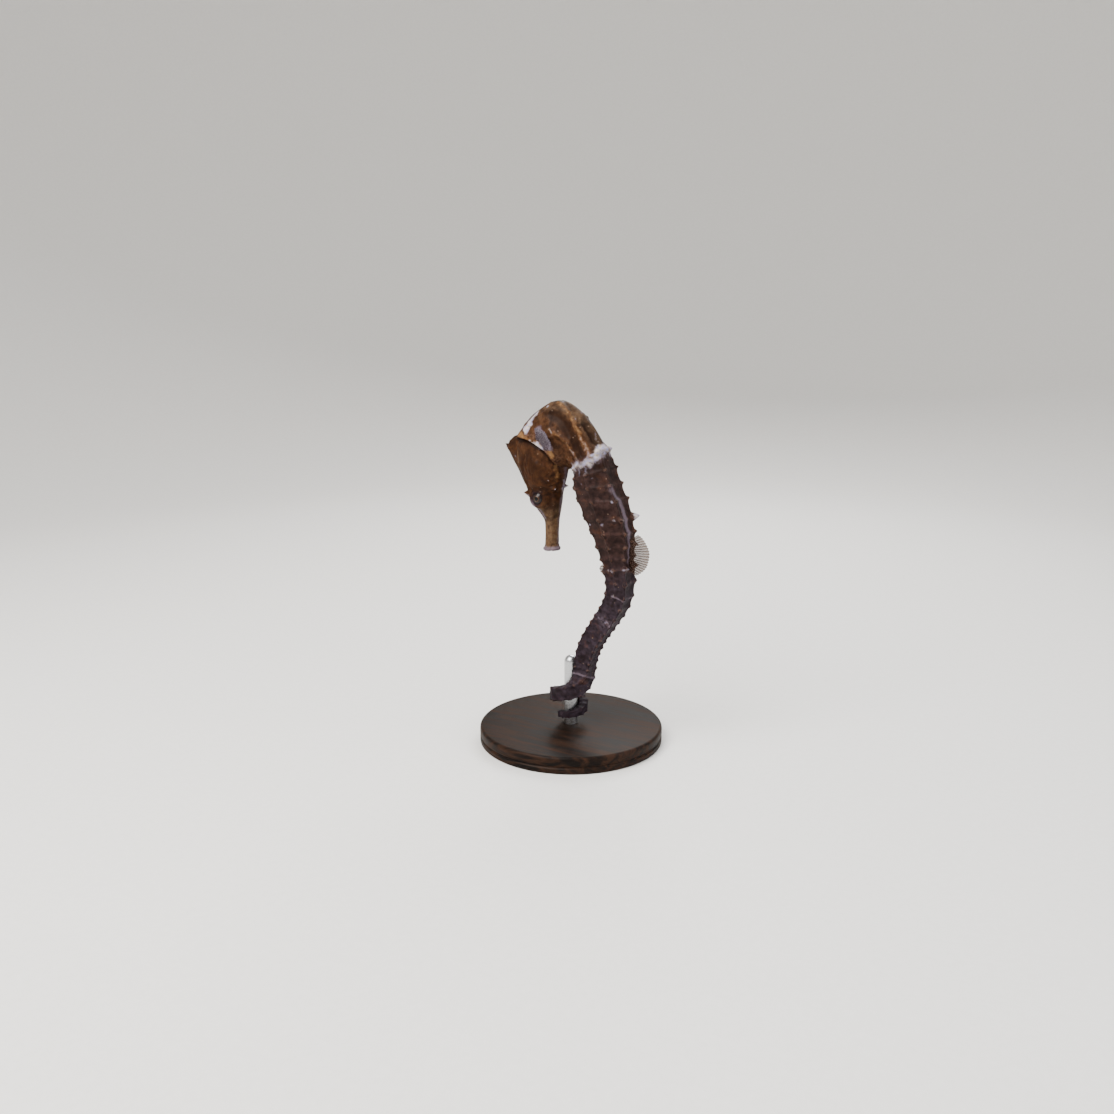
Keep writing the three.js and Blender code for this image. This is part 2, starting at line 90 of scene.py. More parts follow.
# %% Stations
# ring, belly x and z, back x and z, full width, all in millimetres
STATIONS = np.array([
    (-9.0, -4.1, 57.5, -8.9, 57.2, 4.2),  # lips
    (-8.0, -4.3, 59.4, -8.5, 59.2, 3.7),
    (-7.0, -4.3, 62.6, -8.4, 62.5, 3.6),  # middle of the snout
    (-6.0, -4.1, 66.0, -8.8, 66.2, 4.3),
    (-5.0, -3.7, 69.4, -11.2, 69.9, 6.8),  # brow
    (-4.0, -3.1, 72.8, -13.6, 73.7, 8.4),  # eyes
    (-2.6, -2.3, 76.2, -15.8, 78.9, 10.0),  # cheeks
    (-1.2, -1.6, 78.6, -17.6, 84.0, 10.6),  # crown
    (0.0, -1.3, 79.9, -17.0, 89.4, 10.4),  # rim of the gill covers
    (1.0, -1.0, 80.7, -12.3, 96.0, 10.2),  # nape
    (2.0, -0.2, 81.0, -3.6, 100.2, 10.0),  # top of the arch
    (3.0, 0.6, 80.7, 4.9, 95.6, 9.8),
    (4.0, 0.9, 79.9, 10.8, 87.0, 10.2),  # shoulders
    (5.5, 0.8, 76.0, 14.0, 78.1, 11.2),  # breast
    (7.0, 2.9, 70.4, 17.0, 70.8, 11.6),
    (9.0, 7.0, 62.4, 18.8, 62.9, 9.8),
    (11.0, 11.3, 54.9, 18.6, 55.9, 7.2),  # vent
])
FIRST_RING, TRUNK_RINGS, LAST_RING = -9, 11, 47


def hermite(t, start, end, leaving, arriving):
    """The cubic curve from start to end, for t from 0 to 1, with the slopes it leaves and arrives with."""
    return (
        (2 * t**3 - 3 * t**2 + 1) * start + (t**3 - 2 * t**2 + t) * leaving
        + (3 * t**2 - 2 * t**3) * end + (t**3 - t**2) * arriving)


def through(table):
    """A smooth curve through the rows of a table whose first column is the ring."""
    knots, values = table[:, 0], table[:, 1:]
    last = len(knots) - 1
    after, before = np.minimum(np.arange(last + 1) + 1, last), np.maximum(np.arange(last + 1) - 1, 0)
    slopes = (values[after] - values[before]) / (knots[after] - knots[before])[:, None]

    def curve(ring):
        i = np.clip(np.searchsorted(knots, ring, side="right") - 1, 0, last - 1)
        span = (knots[i + 1] - knots[i])[:, None]
        t = np.clip((ring - knots[i])[:, None] / span, 0, 1)
        return hermite(t, values[i], values[i + 1], span * slopes[i], span * slopes[i + 1])

    return curve


station_at = through(STATIONS)
print("trunk sections:", len(STATIONS))

# %% [markdown]
# The tail has 36 rings and no sudden changes, so a few arcs lay it out: walk a step, turn a little, and
# write down the place. Near the stand it leans over sideways and winds round the rod like a vine, belly
# side in.

# %% The tail's walk
TAIL = {"thick": 6.2, "tip": 0.9, "taper": 1.8, "first_ring": 3.05, "last_ring": 1.45}
TAIL_ARCS = [(2, 6), (13, -47), (9, 0), (13, 33.2)]  # length in mm, turn in degrees
ROD = {"radius": 2.0, "foot": 2.3, "top": 26.0}
WRAP = {"start": 33, "bend": 12.5, "lean": 71, "tip_lean": 79, "clear": 0.35}
TAIL_RINGS = LAST_RING - TRUNK_RINGS
STEP = 0.05
HAIR = 0.001


def smooth(x, start, end):
    """0 before start, 1 after end, and an even slope between them."""
    t = np.clip((x - start) / (end - start), 0, 1)
    return t * t * (3 - 2 * t)


def tail_length(n):
    """Length from the vent to the end of the tail's ring n."""
    return TAIL["first_ring"] * n - (TAIL["first_ring"] - TAIL["last_ring"]) * n**2 / (2 * TAIL_RINGS)


TAIL_LENGTH = tail_length(TAIL_RINGS)


def tail_thickness(length):
    t = np.clip(length / TAIL_LENGTH, 0, 1)
    return TAIL["thick"] * (1 - (1 - TAIL["tip"] / TAIL["thick"]) * t ** TAIL["taper"])


def walk_tail():
    """Places, headings and back directions along the tail, a step apart."""
    belly, back = STATIONS[-1, 1:3], STATIONS[-1, 3:5]
    place = np.array([(belly[0] + back[0]) / 2, 0, (belly[1] + back[1]) / 2])
    heading = math.atan2(back[1] - belly[1], back[0] - belly[0]) - math.pi / 2
    rows = []
    for length, turn in TAIL_ARCS:
        steps = round(length / STEP)
        for _ in range(steps):
            along = np.array([math.cos(heading), 0, math.sin(heading)])
            rows.append((place.copy(), along, np.array([-along[2], 0, along[0]])))
            place = place + along * STEP
            heading += math.radians(turn) / steps
    on_arcs = np.array([row[0][0] for row in rows])
    length = np.arange(round(TAIL_LENGTH / STEP) + 2) * STEP
    bent = smooth(length, WRAP["start"], WRAP["start"] + WRAP["bend"])
    touching = ROD["radius"] + WRAP["clear"] + tail_thickness(length) / 2
    arc_reach = on_arcs[np.minimum(np.arange(len(length)), len(on_arcs) - 1)]
    reach = arc_reach + (touching - arc_reach) * bent
    further = smooth(length, WRAP["start"] + WRAP["bend"], TAIL_LENGTH)
    lean = np.radians(WRAP["lean"] + (WRAP["tip_lean"] - WRAP["lean"]) * further) * bent
    first = round(WRAP["start"] / STEP)
    height, turned = rows[first][0][2], 0.0
    del rows[first:]
    for i in range(first, len(length) - 1):
        inwards = (reach[i + 1] - reach[i]) / STEP
        onwards = math.sqrt(1 - inwards**2)
        out = np.array([math.cos(turned), -math.sin(turned), 0])
        sideways = np.array([-math.sin(turned), -math.cos(turned), 0])
        winding = sideways * math.sin(lean[i]) - np.array([0, 0, math.cos(lean[i])])
        rows.append((out * reach[i] + np.array([0, 0, height]), out * inwards + winding * onwards, out))
        turned += math.sin(lean[i]) * onwards * STEP / reach[i]
        height -= math.cos(lean[i]) * onwards * STEP
    return [np.array(column) for column in zip(*rows)]


TAIL_PLACE, TAIL_ALONG, TAIL_BACK = walk_tail()
print(f"tail {TAIL_LENGTH:.1f} mm long, its tip {TAIL_PLACE[-1][2]:.1f} mm up")

# %% [markdown]
# A section needs a centre, a way up to the back, a way to the left, and its depth and width. On the head
# and trunk they come from the table, on the tail from the walk, and over the first two rings of the tail
# one fades into the other. All later steps ask this one function where the body is.

# %% Sections at any ring
NUDGE = 0.01  # rings


def unit(v):
    return v / np.linalg.norm(v, axis=1, keepdims=True)


def frames(ring):
    """For ring positions: the centre, the back and left directions, half depth and half width, in mm."""
    s = station_at(np.minimum(ring, TRUNK_RINGS))
    zero = np.zeros(len(ring))
    belly = np.stack([s[:, 0], zero, s[:, 1]], axis=1)
    back = np.stack([s[:, 2], zero, s[:, 3]], axis=1)
    centre, up = (belly + back) / 2, unit(back - belly)
    depth, width = np.linalg.norm(back - belly, axis=1) / 2, s[:, 4] / 2
    left = np.tile([0.0, -1.0, 0.0], (len(ring), 1))

    length = tail_length(np.maximum(ring - TRUNK_RINGS, 0))
    i = np.clip(length / STEP, 0, len(TAIL_PLACE) - 1 - HAIR)
    low, part = i.astype(int), (i - i.astype(int))[:, None]
    between = lambda rows: rows[low] * (1 - part) + rows[low + 1] * part
    tail_left = unit(np.cross(unit(between(TAIL_ALONG)), unit(between(TAIL_BACK))))
    tail_up = unit(np.cross(tail_left, unit(between(TAIL_ALONG))))
    half = tail_thickness(length) / 2
    grown = 1 - smooth(ring, TRUNK_RINGS, TRUNK_RINGS + 2)
    on_tail = ring > TRUNK_RINGS
    centre = np.where(on_tail[:, None], between(TAIL_PLACE), centre)
    up = np.where(on_tail[:, None], tail_up, up)
    left = np.where(on_tail[:, None], tail_left, left)
    depth = np.where(on_tail, half + grown * (depth - half), depth)
    width = np.where(on_tail, half + grown * (width - half), width)
    return centre, up, left, depth, width


# %% [markdown]
# Seven ridges run along the body: the keel under the belly and three on each flank. `belt` says how far
# round a point is, from 0 at the keel to 7 at the middle of the back, with the lower ridge at 2, the side
# ridge at 4 and the upper one at 6. Each shape below says where those corners are, in half depths and
# half widths.

# %% The shapes of the sections
BELT_KNOTS = np.array([0.0, 2.0, 4.0, 6.0, 7.0])
# corners from keel to back as (towards the back, to the side), and the bulge of the skin between them
SHAPES = {
    "snout": ([(-1, 0), (-0.62, 0.78), (0.18, 0.97), (0.82, 0.5), (1, 0)], 0.06),
    "head": ([(-1, 0), (-0.66, 0.6), (0, 1), (0.74, 0.62), (1, 0)], 0.06),
    "neck": ([(-1, 0), (-0.62, 0.62), (0.02, 1), (0.78, 0.64), (1, 0)], 0.02),
    "trunk": ([(-1, 0), (-0.62, 0.72), (0.12, 1), (0.96, 0.6), (0.94, 0)], -0.04),
    "tail": ([(-0.88, 0), (-0.94, 0.94), (0, 0.92), (0.94, 0.94), (0.9, 0)], -0.02),
    "coil": ([(-0.94, 0), (-0.78, 0.78), (0, 0.98), (0.8, 0.8), (0.97, 0)], 0.0),
}

# The rings over which each shape takes over from the one before.
CHANGES = [("head", -6.5, -3), ("neck", -0.2, 1), ("trunk", 3, 5.5), ("tail", 8.5, 13), ("coil", 21, 30)]


def roundness(ring):
    """How far the smooth curve replaces the straight sides: the trunk is the most angular."""
    return 0.95 - 0.35 * smooth(ring, 0, 2) - 0.35 * smooth(ring, 4, 10) + 0.5 * smooth(ring, 20, 28)


def section(ring, belt):
    """Where a point of the section is, towards the back and to the side, in half depths and half widths."""
    corners = np.array(SHAPES["snout"][0], float)[None].repeat(len(ring), 0)
    bulge = np.full(len(ring), SHAPES["snout"][1])
    for name, start, end in CHANGES:
        target, swell = SHAPES[name]
        share = smooth(ring, start, end)
        corners += (np.array(target, float)[None] - corners) * share[:, None, None]
        bulge += (swell - bulge) * share
    each = np.arange(len(ring))
    i = np.clip(np.searchsorted(BELT_KNOTS, belt, side="right") - 1, 0, 3)
    span = BELT_KNOTS[i + 1] - BELT_KNOTS[i]
    t = ((belt - BELT_KNOTS[i]) / span)[:, None]
    start, end = corners[each, i], corners[each, i + 1]
    flat = (start * (1 - t) + end * t) * (1 + 4 * bulge[:, None] * t * (1 - t))
    # The same corners joined by a smooth curve, whose slopes at keel and back come from the mirrored flank.
    mirrored = np.array([1.0, -1.0])
    knots = np.concatenate([[-2.0], BELT_KNOTS, [8.0]])
    ring_of = np.concatenate([corners[:, 1:2] * mirrored, corners, corners[:, 3:4] * mirrored], axis=1)
    slope = lambda j: (ring_of[each, j + 2] - ring_of[each, j]) / (knots[j + 2] - knots[j])[:, None]
    curved = hermite(t, start, end, span[:, None] * slope(i), span[:, None] * slope(i + 1))
    return flat + (curved - flat) * roundness(ring)[:, None]


def body_point(ring, belt, side):
    """Places on the plain body in mm: side is 1 on the animal's left and -1 on its right."""
    centre, up, left, depth, width = frames(ring)
    s = section(ring, np.clip(belt, 0, 7))
    return centre + up * (s[:, 0] * depth)[:, None] + left * (s[:, 1] * width * side)[:, None]


# %% One place on the body
def spot(ring, belt, side):
    """A single place on the plain body, in mm."""
    return body_point(np.array([ring]), np.array([belt]), np.array([side]))[0]


print("side ridge at the breast:", spot(5.5, 4.0, 1.0).round(1), "mm")

# %% [markdown]
# ## The skin
#
# One skin covers head, trunk and tail, so that no seam shows. It starts as a straight tube one unit high
# for each ring, like a sock before a foot is in it: that is easy to cut into rows where detail is wanted.
# Then each corner is moved to its place on the bowed body. Modelling it bowed from the start would mean
# placing every row by hand.

# %% Helpers for edit mode
def deselect_all():
    if bpy.context.object and bpy.context.object.mode != "OBJECT":
        bpy.ops.object.mode_set(mode="OBJECT")
    bpy.ops.object.select_all(action="DESELECT")


def activate(piece):
    deselect_all()
    piece.select_set(True)
    bpy.context.view_layer.objects.active = piece


def positions(piece):
    """A piece's vertices, in mm."""
    co = np.empty(len(piece.data.vertices) * 3)
    piece.data.vertices.foreach_get("co", co)
    return co.reshape(-1, 3) / MM


def set_positions(piece, places):
    piece.data.vertices.foreach_set("co", (np.asarray(places) * MM).ravel())
    piece.data.update()


def pick(piece, mode, chosen):
    """Selects the vertices, edges or faces for which chosen is true, and enters edit mode."""
    activate(piece)
    mesh = piece.data
    for kind in (mesh.vertices, mesh.edges, mesh.polygons):
        kind.foreach_set("select", np.zeros(len(kind), bool))
    {"VERT": mesh.vertices, "EDGE": mesh.edges, "FACE": mesh.polygons}[mode].foreach_set("select", chosen)
    bpy.context.tool_settings.mesh_select_mode = (mode == "VERT", mode == "EDGE", mode == "FACE")
    bpy.ops.object.mode_set(mode="EDIT")


def leave_edit():
    bpy.ops.object.mode_set(mode="OBJECT")


def edge_ends(piece):
    ends = np.empty(len(piece.data.edges) * 2, int)
    piece.data.edges.foreach_get("vertices", ends)
    return ends.reshape(-1, 2)


# %% A straight tube with rows where they are wanted
COLUMNS = 126
TOUCH = 1e-4
# The extra cuts between two rings, for each stretch: most where the hood's folds and the collar are.
CUTS = [(-9, 0, 12), (0, 4, 27), (4, 7, 19), (7, 11, 12), (11, 25, 7), (25, 47, 5)]
bpy.ops.object.select_all(action="DESELECT")
bpy.ops.mesh.primitive_cylinder_add(
    vertices=COLUMNS, radius=1, depth=LAST_RING - FIRST_RING, end_fill_type="NOTHING",
    location=(0, 0, (LAST_RING + FIRST_RING) / 2))
skin = bpy.context.object
skin.name = "skin"
bpy.ops.object.transform_apply()


def cut_rows(piece, low, high, cuts):
    """Cuts the lengthwise edges that lie between two rings."""
    a, b = (positions(piece) * MM)[edge_ends(piece)].transpose(1, 0, 2)
    lengthwise = np.abs(a[:, 2] - b[:, 2]) > TOUCH
    inside = (np.minimum(a[:, 2], b[:, 2]) > low - TOUCH) & (np.maximum(a[:, 2], b[:, 2]) < high + TOUCH)
    pick(piece, "EDGE", lengthwise & inside)
    bpy.ops.mesh.subdivide(number_cuts=cuts)
    leave_edit()


cut_rows(skin, FIRST_RING, LAST_RING, LAST_RING - FIRST_RING - 1)
for low, high, cuts in CUTS:
    cut_rows(skin, low, high, cuts)
print("tube:", len(skin.data.polygons), "faces")

# %% [markdown]
# Both ends are open. At the lips the edge is pushed out, turned in and drawn up inside to make the mouth;
# at the tail's tip it is drawn together into a blunt point. In the tube, a corner's distance from the
# axis says how far it is from the middle of the section, so these caps follow the bowed body too.

# %% Close the lips and the tip of the tail
def grow_end(piece, end, steps):
    """Extrudes the open end in steps, each given as (where along the tube, distance from the axis)."""
    where, size = end, 1.0
    co = positions(piece) * MM
    pick(piece, "VERT", np.abs(co[:, 2] - end) < TOUCH)
    for next_where, next_size in steps:
        bpy.ops.mesh.extrude_region_move(TRANSFORM_OT_translate={"value": (0, 0, next_where - where)})
        scale = next_size / size
        bpy.ops.transform.resize(value=(scale, scale, 1), center_override=(0, 0, 0))
        where, size = next_where, next_size
    bpy.ops.mesh.merge(type="CENTER")
    leave_edit()


LIPS = [(-9.1, 0.99), (-9.17, 0.95), (-9.21, 0.88), (-9.2, 0.8), (-9.14, 0.73)]
THROAT = [(-9.0, 0.68), (-8.8, 0.62), (-8.5, 0.55), (-8.2, 0.4), (-8.05, 0.2)]
TAIL_END = [(47.12, 0.85), (47.2, 0.6), (47.24, 0.3)]
grow_end(skin, FIRST_RING, LIPS + THROAT)
grow_end(skin, LAST_RING, TAIL_END)
print("closed:", len(skin.data.polygons), "faces")

# %% [markdown]
# While the tube is straight, a corner's height is its ring and its angle is its place round the body.
# Both are kept with the corners as attributes, which stay true after the tube is bowed. A vertex group
# could hold such numbers too, but only from 0 to 1.

# %% Write down each corner's ring and belt
def write_attribute(piece, name, values):
    store = piece.data.attributes.get(name) or piece.data.attributes.new(name, "FLOAT", "POINT")
    store.data.foreach_set("value", np.asarray(values, np.float32))


def read_attribute(piece, name):
    values = np.empty(len(piece.data.vertices), np.float32)
    piece.data.attributes[name].data.foreach_get("value", values)
    return values.astype(float)


tube = positions(skin) * MM
angle = np.arctan2(-tube[:, 0], -tube[:, 1])
BELTS, BELTS_PER_RIDGE = 7, 2
CROWDING = 0.4  # how strongly the columns crowd towards the ridges
ridges = np.abs(angle) / math.pi * BELTS / BELTS_PER_RIDGE  # a whole number on a ridge
ridges = ridges - CROWDING * np.sin(2 * math.pi * ridges) / (2 * math.pi)
write_attribute(skin, "belt", ridges * BELTS_PER_RIDGE)
write_attribute(skin, "side", np.sign(np.sin(angle).round(6)))
write_attribute(skin, "ring", tube[:, 2])
write_attribute(skin, "inset", 1 - np.hypot(tube[:, 0], tube[:, 1]))
print("columns stand closer together on the ridges")

# %% [markdown]
# Now each corner goes to its place on the body. An Armature or a Curve modifier could bow a straight tube
# as well, but under the throat the sections fan out like the pages of a book, and both would crease it
# there.

# %% Bow the tube
END_STRETCH = 1.6  # mm for each ring beyond the ends


def pose(piece):
    """Moves the tube's corners to their places on the plain body."""
    ring, belt, side = (read_attribute(piece, name) for name in ("ring", "belt", "side"))
    size = 1 - read_attribute(piece, "inset")
    held = np.clip(ring, FIRST_RING, LAST_RING)
    centre = frames(held)[0]
    onward = unit(frames(held + NUDGE)[0] - frames(held - NUDGE)[0])
    past_end = np.where(size < 1 - HAIR, ring - held, 0) * END_STRETCH
    places = centre + (body_point(held, belt, side) - centre) * size[:, None]
    set_positions(piece, places + onward * past_end[:, None])


pose(skin)
print("bowed: top at", round(positions(skin)[:, 2].max(), 1), "mm")

# %% [markdown]
# ## Relief on the rings
#
# Bone lies close under a seahorse's skin. Each ring is a raised hoop, each ridge a raised line along the
# body, and a spine stands where they cross, taller on every other ring of the trunk. Between them the
# skin sinks a little. These heights are added along the surface's own normals, in millimetres along the
# skin, so the tail's small rings get small ridges. A displacement texture could do this only where its
# pattern knew the rings.

# %% Measures along the skin
STRIDE = 0.1  # rings, or belts


def across(values, knots, heights):
    return np.interp(values, knots, heights)


def bump(distance, width):
    """1 on a line, falling away on both sides."""
    return np.exp(-((distance / width) ** 2))


def side_of(piece):
    return np.where(read_attribute(piece, "side") < 0, -1.0, 1.0)


def skin_measures(piece):
    """For each corner its ring, belt, side and inset, the millimetres of skin for each ring (pitch) and for
    each belt (girth), the way onward along the body, and how thick the tail is there (size)."""
    ring = np.clip(read_attribute(piece, "ring"), FIRST_RING, LAST_RING)
    belt = np.clip(read_attribute(piece, "belt"), 0, 7)
    side = side_of(piece)
    m = {"ring": ring, "belt": belt, "side": side, "inset": read_attribute(piece, "inset")}
    ahead = body_point(np.minimum(ring + STRIDE, LAST_RING), belt, side)
    behind = body_point(np.maximum(ring - STRIDE, FIRST_RING), belt, side)
    m["pitch"] = np.linalg.norm(ahead - behind, axis=1) / (2 * STRIDE)
    up_belt = body_point(ring, np.minimum(belt + STRIDE, 7), side)
    down_belt = body_point(ring, np.maximum(belt - STRIDE, 0), side)
    m["girth"] = np.linalg.norm(up_belt - down_belt, axis=1) / (2 * STRIDE)
    next_centre = frames(np.minimum(ring + NUDGE, LAST_RING))[0]
    m["onward"] = unit(next_centre - frames(np.maximum(ring - NUDGE, FIRST_RING))[0])
    m["size"] = np.where(ring > TRUNK_RINGS, frames(ring)[3] * 2 / TAIL["thick"], 1.0)
    return m


# %% [markdown]
# The hoops come from one table, because they crowd together under the bowed neck. A spine is a small dome
# where a hoop meets a ridge, and dice give each one a slightly different height.

# %% Hoops, ridges and spines
# At each ring position in the first row, this many hoops have gone by.
HOOPS = ([0, 2.2, 3.95, 6.4, 7.6, 9.6, 11.5, 14.05, 17.1, 24.7, 30, 47],
         [0, 2.0, 3.5, 6.5, 7.5, 9.5, 11.5, 13.5, 16.5, 24.5, 30, 47])
# The rim behind the gill cover is slanted: the ring position where it runs, from keel to back.
RIM = ([0, 1, 2.2, 3.35, 4.8, 6.4, 7], [0.4, 0.55, 0.76, 0.93, 0.58, 0.1, 0.0])
# Heights and widths in mm on the trunk.
HOOP = {"height": 0.3, "width": 0.4, "hollow": 0.16, "hollow_width": 1.1}
RIDGE_WIDTH, SAG_WIDTH = 0.5, 1.2
RIDGE_BELTS = {"keel": 0, "lower": 2, "side": 4, "upper": 6}
RIDGE_HEIGHT = {"keel": 0.25, "lower": 0.26, "side": 0.28, "upper": 0.34}
SPINE_HEIGHT = {"keel": 0.2, "lower": 0.26, "side": 0.3, "upper": 0.34}
SPINE_SHRINK = {"keel": 0.55, "lower": 0.55, "side": 0.3, "upper": 0.0}
SPINE_FOOT, SPINE_FOOT_GROWTH = 0.62, 0.12
TALL = 1.7
# Hoops whose upper spines are taller still: how many times, on the left and on the right.
TALLEST = {3: (1.5, 1.5), 7: (1.0, 3.0), 12: (1.2, 1.6)}


def ridge_fade(name, ring):
    """The keel ends at the vent, and the side ridge fades on the tail."""
    fades = {"keel": (1, 10, 12), "side": (0.9, 12, 17)}
    if name not in fades:
        return np.ones(len(ring))
    depth, start, end = fades[name]
    return 1 - depth * smooth(ring, start, end)


def spine_growth(name, number, side):
    """How many times taller than the plain ones the spines of each hoop are."""
    on_tail = number >= TRUNK_RINGS
    tall = np.where(on_tail, (number - TRUNK_RINGS) % 3 == 0, number % 2 == (number > 3) * 1)
    growth = np.where(tall, TALL, 1.0)
    if name == "upper":
        for hoop_number, (on_left, on_right) in TALLEST.items():
            growth = np.where(number == hoop_number, np.where(side > 0, on_left, on_right) * TALL, growth)
    return growth


def ring_relief(m):
    """How far each corner stands off the plain body for its ring, and how much of that is a spine."""
    ring, belt, size = m["ring"], m["belt"], m["size"]
    gone = across(ring, *HOOPS)
    number = np.floor(gone).astype(int)
    fine = 0.35 + 0.65 * size
    from_hoop = (gone - number - 0.5) * m["pitch"]
    open_skin = np.clip(m["pitch"] / 2.2, 0, 1) ** 1.5  # hoops crowd together and fade under the throat
    open_skin = np.where(ring > TRUNK_RINGS, 1, open_skin)
    past_rim = smooth((ring - across(belt, *RIM)) * m["pitch"], 0.8, 3.5)
    hood = 0.55 + 0.45 * smooth(ring, 2.4, 3.6)
    low = 0.72 + 0.28 * smooth(ring, 9, 13)
    tail = smooth(ring, 11, 15)
    height = HOOP["height"] * bump(from_hoop, HOOP["width"] * fine)
    height -= HOOP["hollow"] * (1 - bump(from_hoop, HOOP["hollow_width"] * fine))
    height *= (1 - 0.25 * tail) * size**0.5 * open_skin * low
    dice = np.random.default_rng(4).uniform(0.5, 1.3, (LAST_RING + 2, 4))
    spines = np.zeros(len(ring))
    for k, (name, where) in enumerate(RIDGE_BELTS.items()):
        from_ridge = (belt - where) * m["girth"]
        here = ridge_fade(name, ring)
        firm = 0.5 + 0.3 * tail
        sag = firm + (1 - firm) * bump(from_hoop, SAG_WIDTH * fine)
        height += RIDGE_HEIGHT[name] * bump(from_ridge, RIDGE_WIDTH * fine) * sag * size * open_skin * here
        growth = spine_growth(name, number, m["side"])
        foot = (SPINE_FOOT + SPINE_FOOT_GROWTH * growth) * fine
        nub = np.clip(1 - (np.hypot(from_hoop * 0.9, from_ridge) / foot) ** 2, 0, 1) ** 2
        tip = SPINE_HEIGHT[name] * growth * dice[np.clip(number, 0, LAST_RING + 1), k]
        tip = tip * size * (1 - 0.65 * tail) * (1 - SPINE_SHRINK[name]) * here * open_skin
        height += tip * nub
        spines = np.maximum(spines, nub * np.clip(tip / 0.6, 0, 1))
    return height * past_rim * hood, spines * past_rim


# %% [markdown]
# ## The gill cover, the hood and the snout
#
# The head has no rings. A smooth gill cover bulges from its flank, scored with fine lines that fan out
# from its front corner, and behind it the edge of the hood folds forward over the head. A bony arch runs
# from the nose over the eye to the crown.

# %% Distances to lines drawn on the flank
def to_line(places, line):
    """Distance from each place to a chain of straight pieces, in as many dimensions as the points have."""
    line = np.asarray(line, float)
    nearest = np.full(len(places), np.inf)
    for a, b in zip(line[:-1], line[1:]):
        t = np.clip(((places - a) @ (b - a)) / ((b - a) @ (b - a)), 0, 1)
        nearest = np.minimum(nearest, np.linalg.norm(places - (a + t[:, None] * (b - a)), axis=1))
    return nearest


def on_skin(pairs, side):
    """Points on the plain body from (ring, belt) pairs, with more of them in between."""
    pairs = np.asarray(pairs, float)
    steps = np.linspace(0, len(pairs) - 1, 6 * (len(pairs) - 1) + 1)
    ring = np.interp(steps, range(len(pairs)), pairs[:, 0])
    belt = np.interp(steps, range(len(pairs)), pairs[:, 1])
    return body_point(ring, belt, np.full(len(ring), float(side)))


def to_skin_line(places, side, pairs):
    """Distance to a line drawn on both flanks, each corner measured against its own side's."""
    return np.where(side > 0, to_line(places, on_skin(pairs, 1)), to_line(places, on_skin(pairs, -1)))


# %% Relief of the head
EYE = {"x": -8.7, "z": 72.4, "y": 2.9, "radius": 2.2}
GILL_COVER = {"x": -7.9, "z": 80.0, "deep": 5.4, "long": 6.4, "hinge": (-9.6, 75.2)}
BROW_ARCH = [(-9.3, 66.5), (-10.3, 69.0), (-11.2, 71.4), (-12.2, 74.2), (-13.4, 78.0), (-14.9, 81.8)]
CHEEK_ARCH = [
    (-8.2, 76.0), (-6.4, 76.2), (-4.7, 75.0), (-4.3, 72.0), (-5.0, 68.5), (-5.6, 64.5), (-5.7, 60.5)]


def head_relief(places, m):
    """Heights on the head and the hood."""
    ring, belt = m["ring"], m["belt"]
    flat = places[:, [0, 2]]
    on_head = 1 - smooth(ring, -0.6, 0.2)
    flank = smooth(belt, 0.6, 1.6) * (1 - smooth(belt, 6.2, 6.8))
    height = 0.42 * bump(to_line(flat, BROW_ARCH), 0.75) * smooth(belt, 4, 5) * on_head
    height += 0.3 * bump(to_line(flat, CHEEK_ARCH), 0.5) * (1 - smooth(belt, 4.8, 5.4)) * on_head
    dx = (flat[:, 0] - GILL_COVER["x"]) / GILL_COVER["deep"]
    dz = (flat[:, 1] - GILL_COVER["z"]) / GILL_COVER["long"]
    oval = np.hypot(dx + 0.12 * dz, dz)
    cover = 1 - smooth(oval, 0.9, 1.0)
    height += (0.3 * cover + 0.45 * (1 - smooth(oval, 0.1, 1.0))) * flank * on_head
    height -= 0.25 * bump(oval - 1.03, 0.05) * flank * on_head
    hx, hz = flat[:, 0] - GILL_COVER["hinge"][0], flat[:, 1] - GILL_COVER["hinge"][1]
    rays = np.cos(np.arctan2(hx, hz) * 30)
    height += 0.1 * rays * cover * smooth(np.hypot(hx, hz), 1.2, 3.5) * flank
    nose = smooth(ring, -8.7, -7.5) * (1 - smooth(ring, -5.5, -4.5))
    height += 0.1 * bump(belt - 6, 0.5) * nose + 0.1 * bump(belt - 3.6, 0.45) * nose
    # The lips roll out, and a groove on each side parts the lower jaw from them.
    height += 0.28 * bump((ring + 8.92) * m["pitch"], 0.35)
    height -= 0.16 * bump((belt - 2.7) * m["girth"], 0.22) * (1 - smooth(ring, -8.3, -8.0))
    height -= 0.12 * bump((ring + 8.15) * m["pitch"], 0.2) * (1 - smooth(belt, 2.4, 2.8))
    return height


# %% [markdown]
# Two reliefs follow lines of their own. The hood's front edge stands up as a soft rim and reaches over
# the gill cover, so its corners move forward as well as out. Where the hood ends, a collar of warts of
# all sizes goes round the neck: they are scattered with a fixed seed, so that each run gives the same
# ones.

# %% The hood's rim and the collar
# The bowed neck throws the hood into folds: a valley between two low ridges, and a hollow near the back.
VALLEY = [(1.75, 5.6), (2.27, 5.2), (2.7, 4.65), (3.2, 4.25), (3.6, 4.1)]
UPPER_FOLD = [(2.0, 6.6), (2.44, 6.16), (2.8, 5.6), (3.23, 5.24), (3.66, 5.06), (3.95, 5.0)]
LOWER_FOLD = [(1.6, 4.6), (2.08, 3.99), (2.63, 3.78), (2.98, 3.5), (3.44, 3.38)]
HOLLOW = [(3.1, 6.3), (3.6, 6.1)]
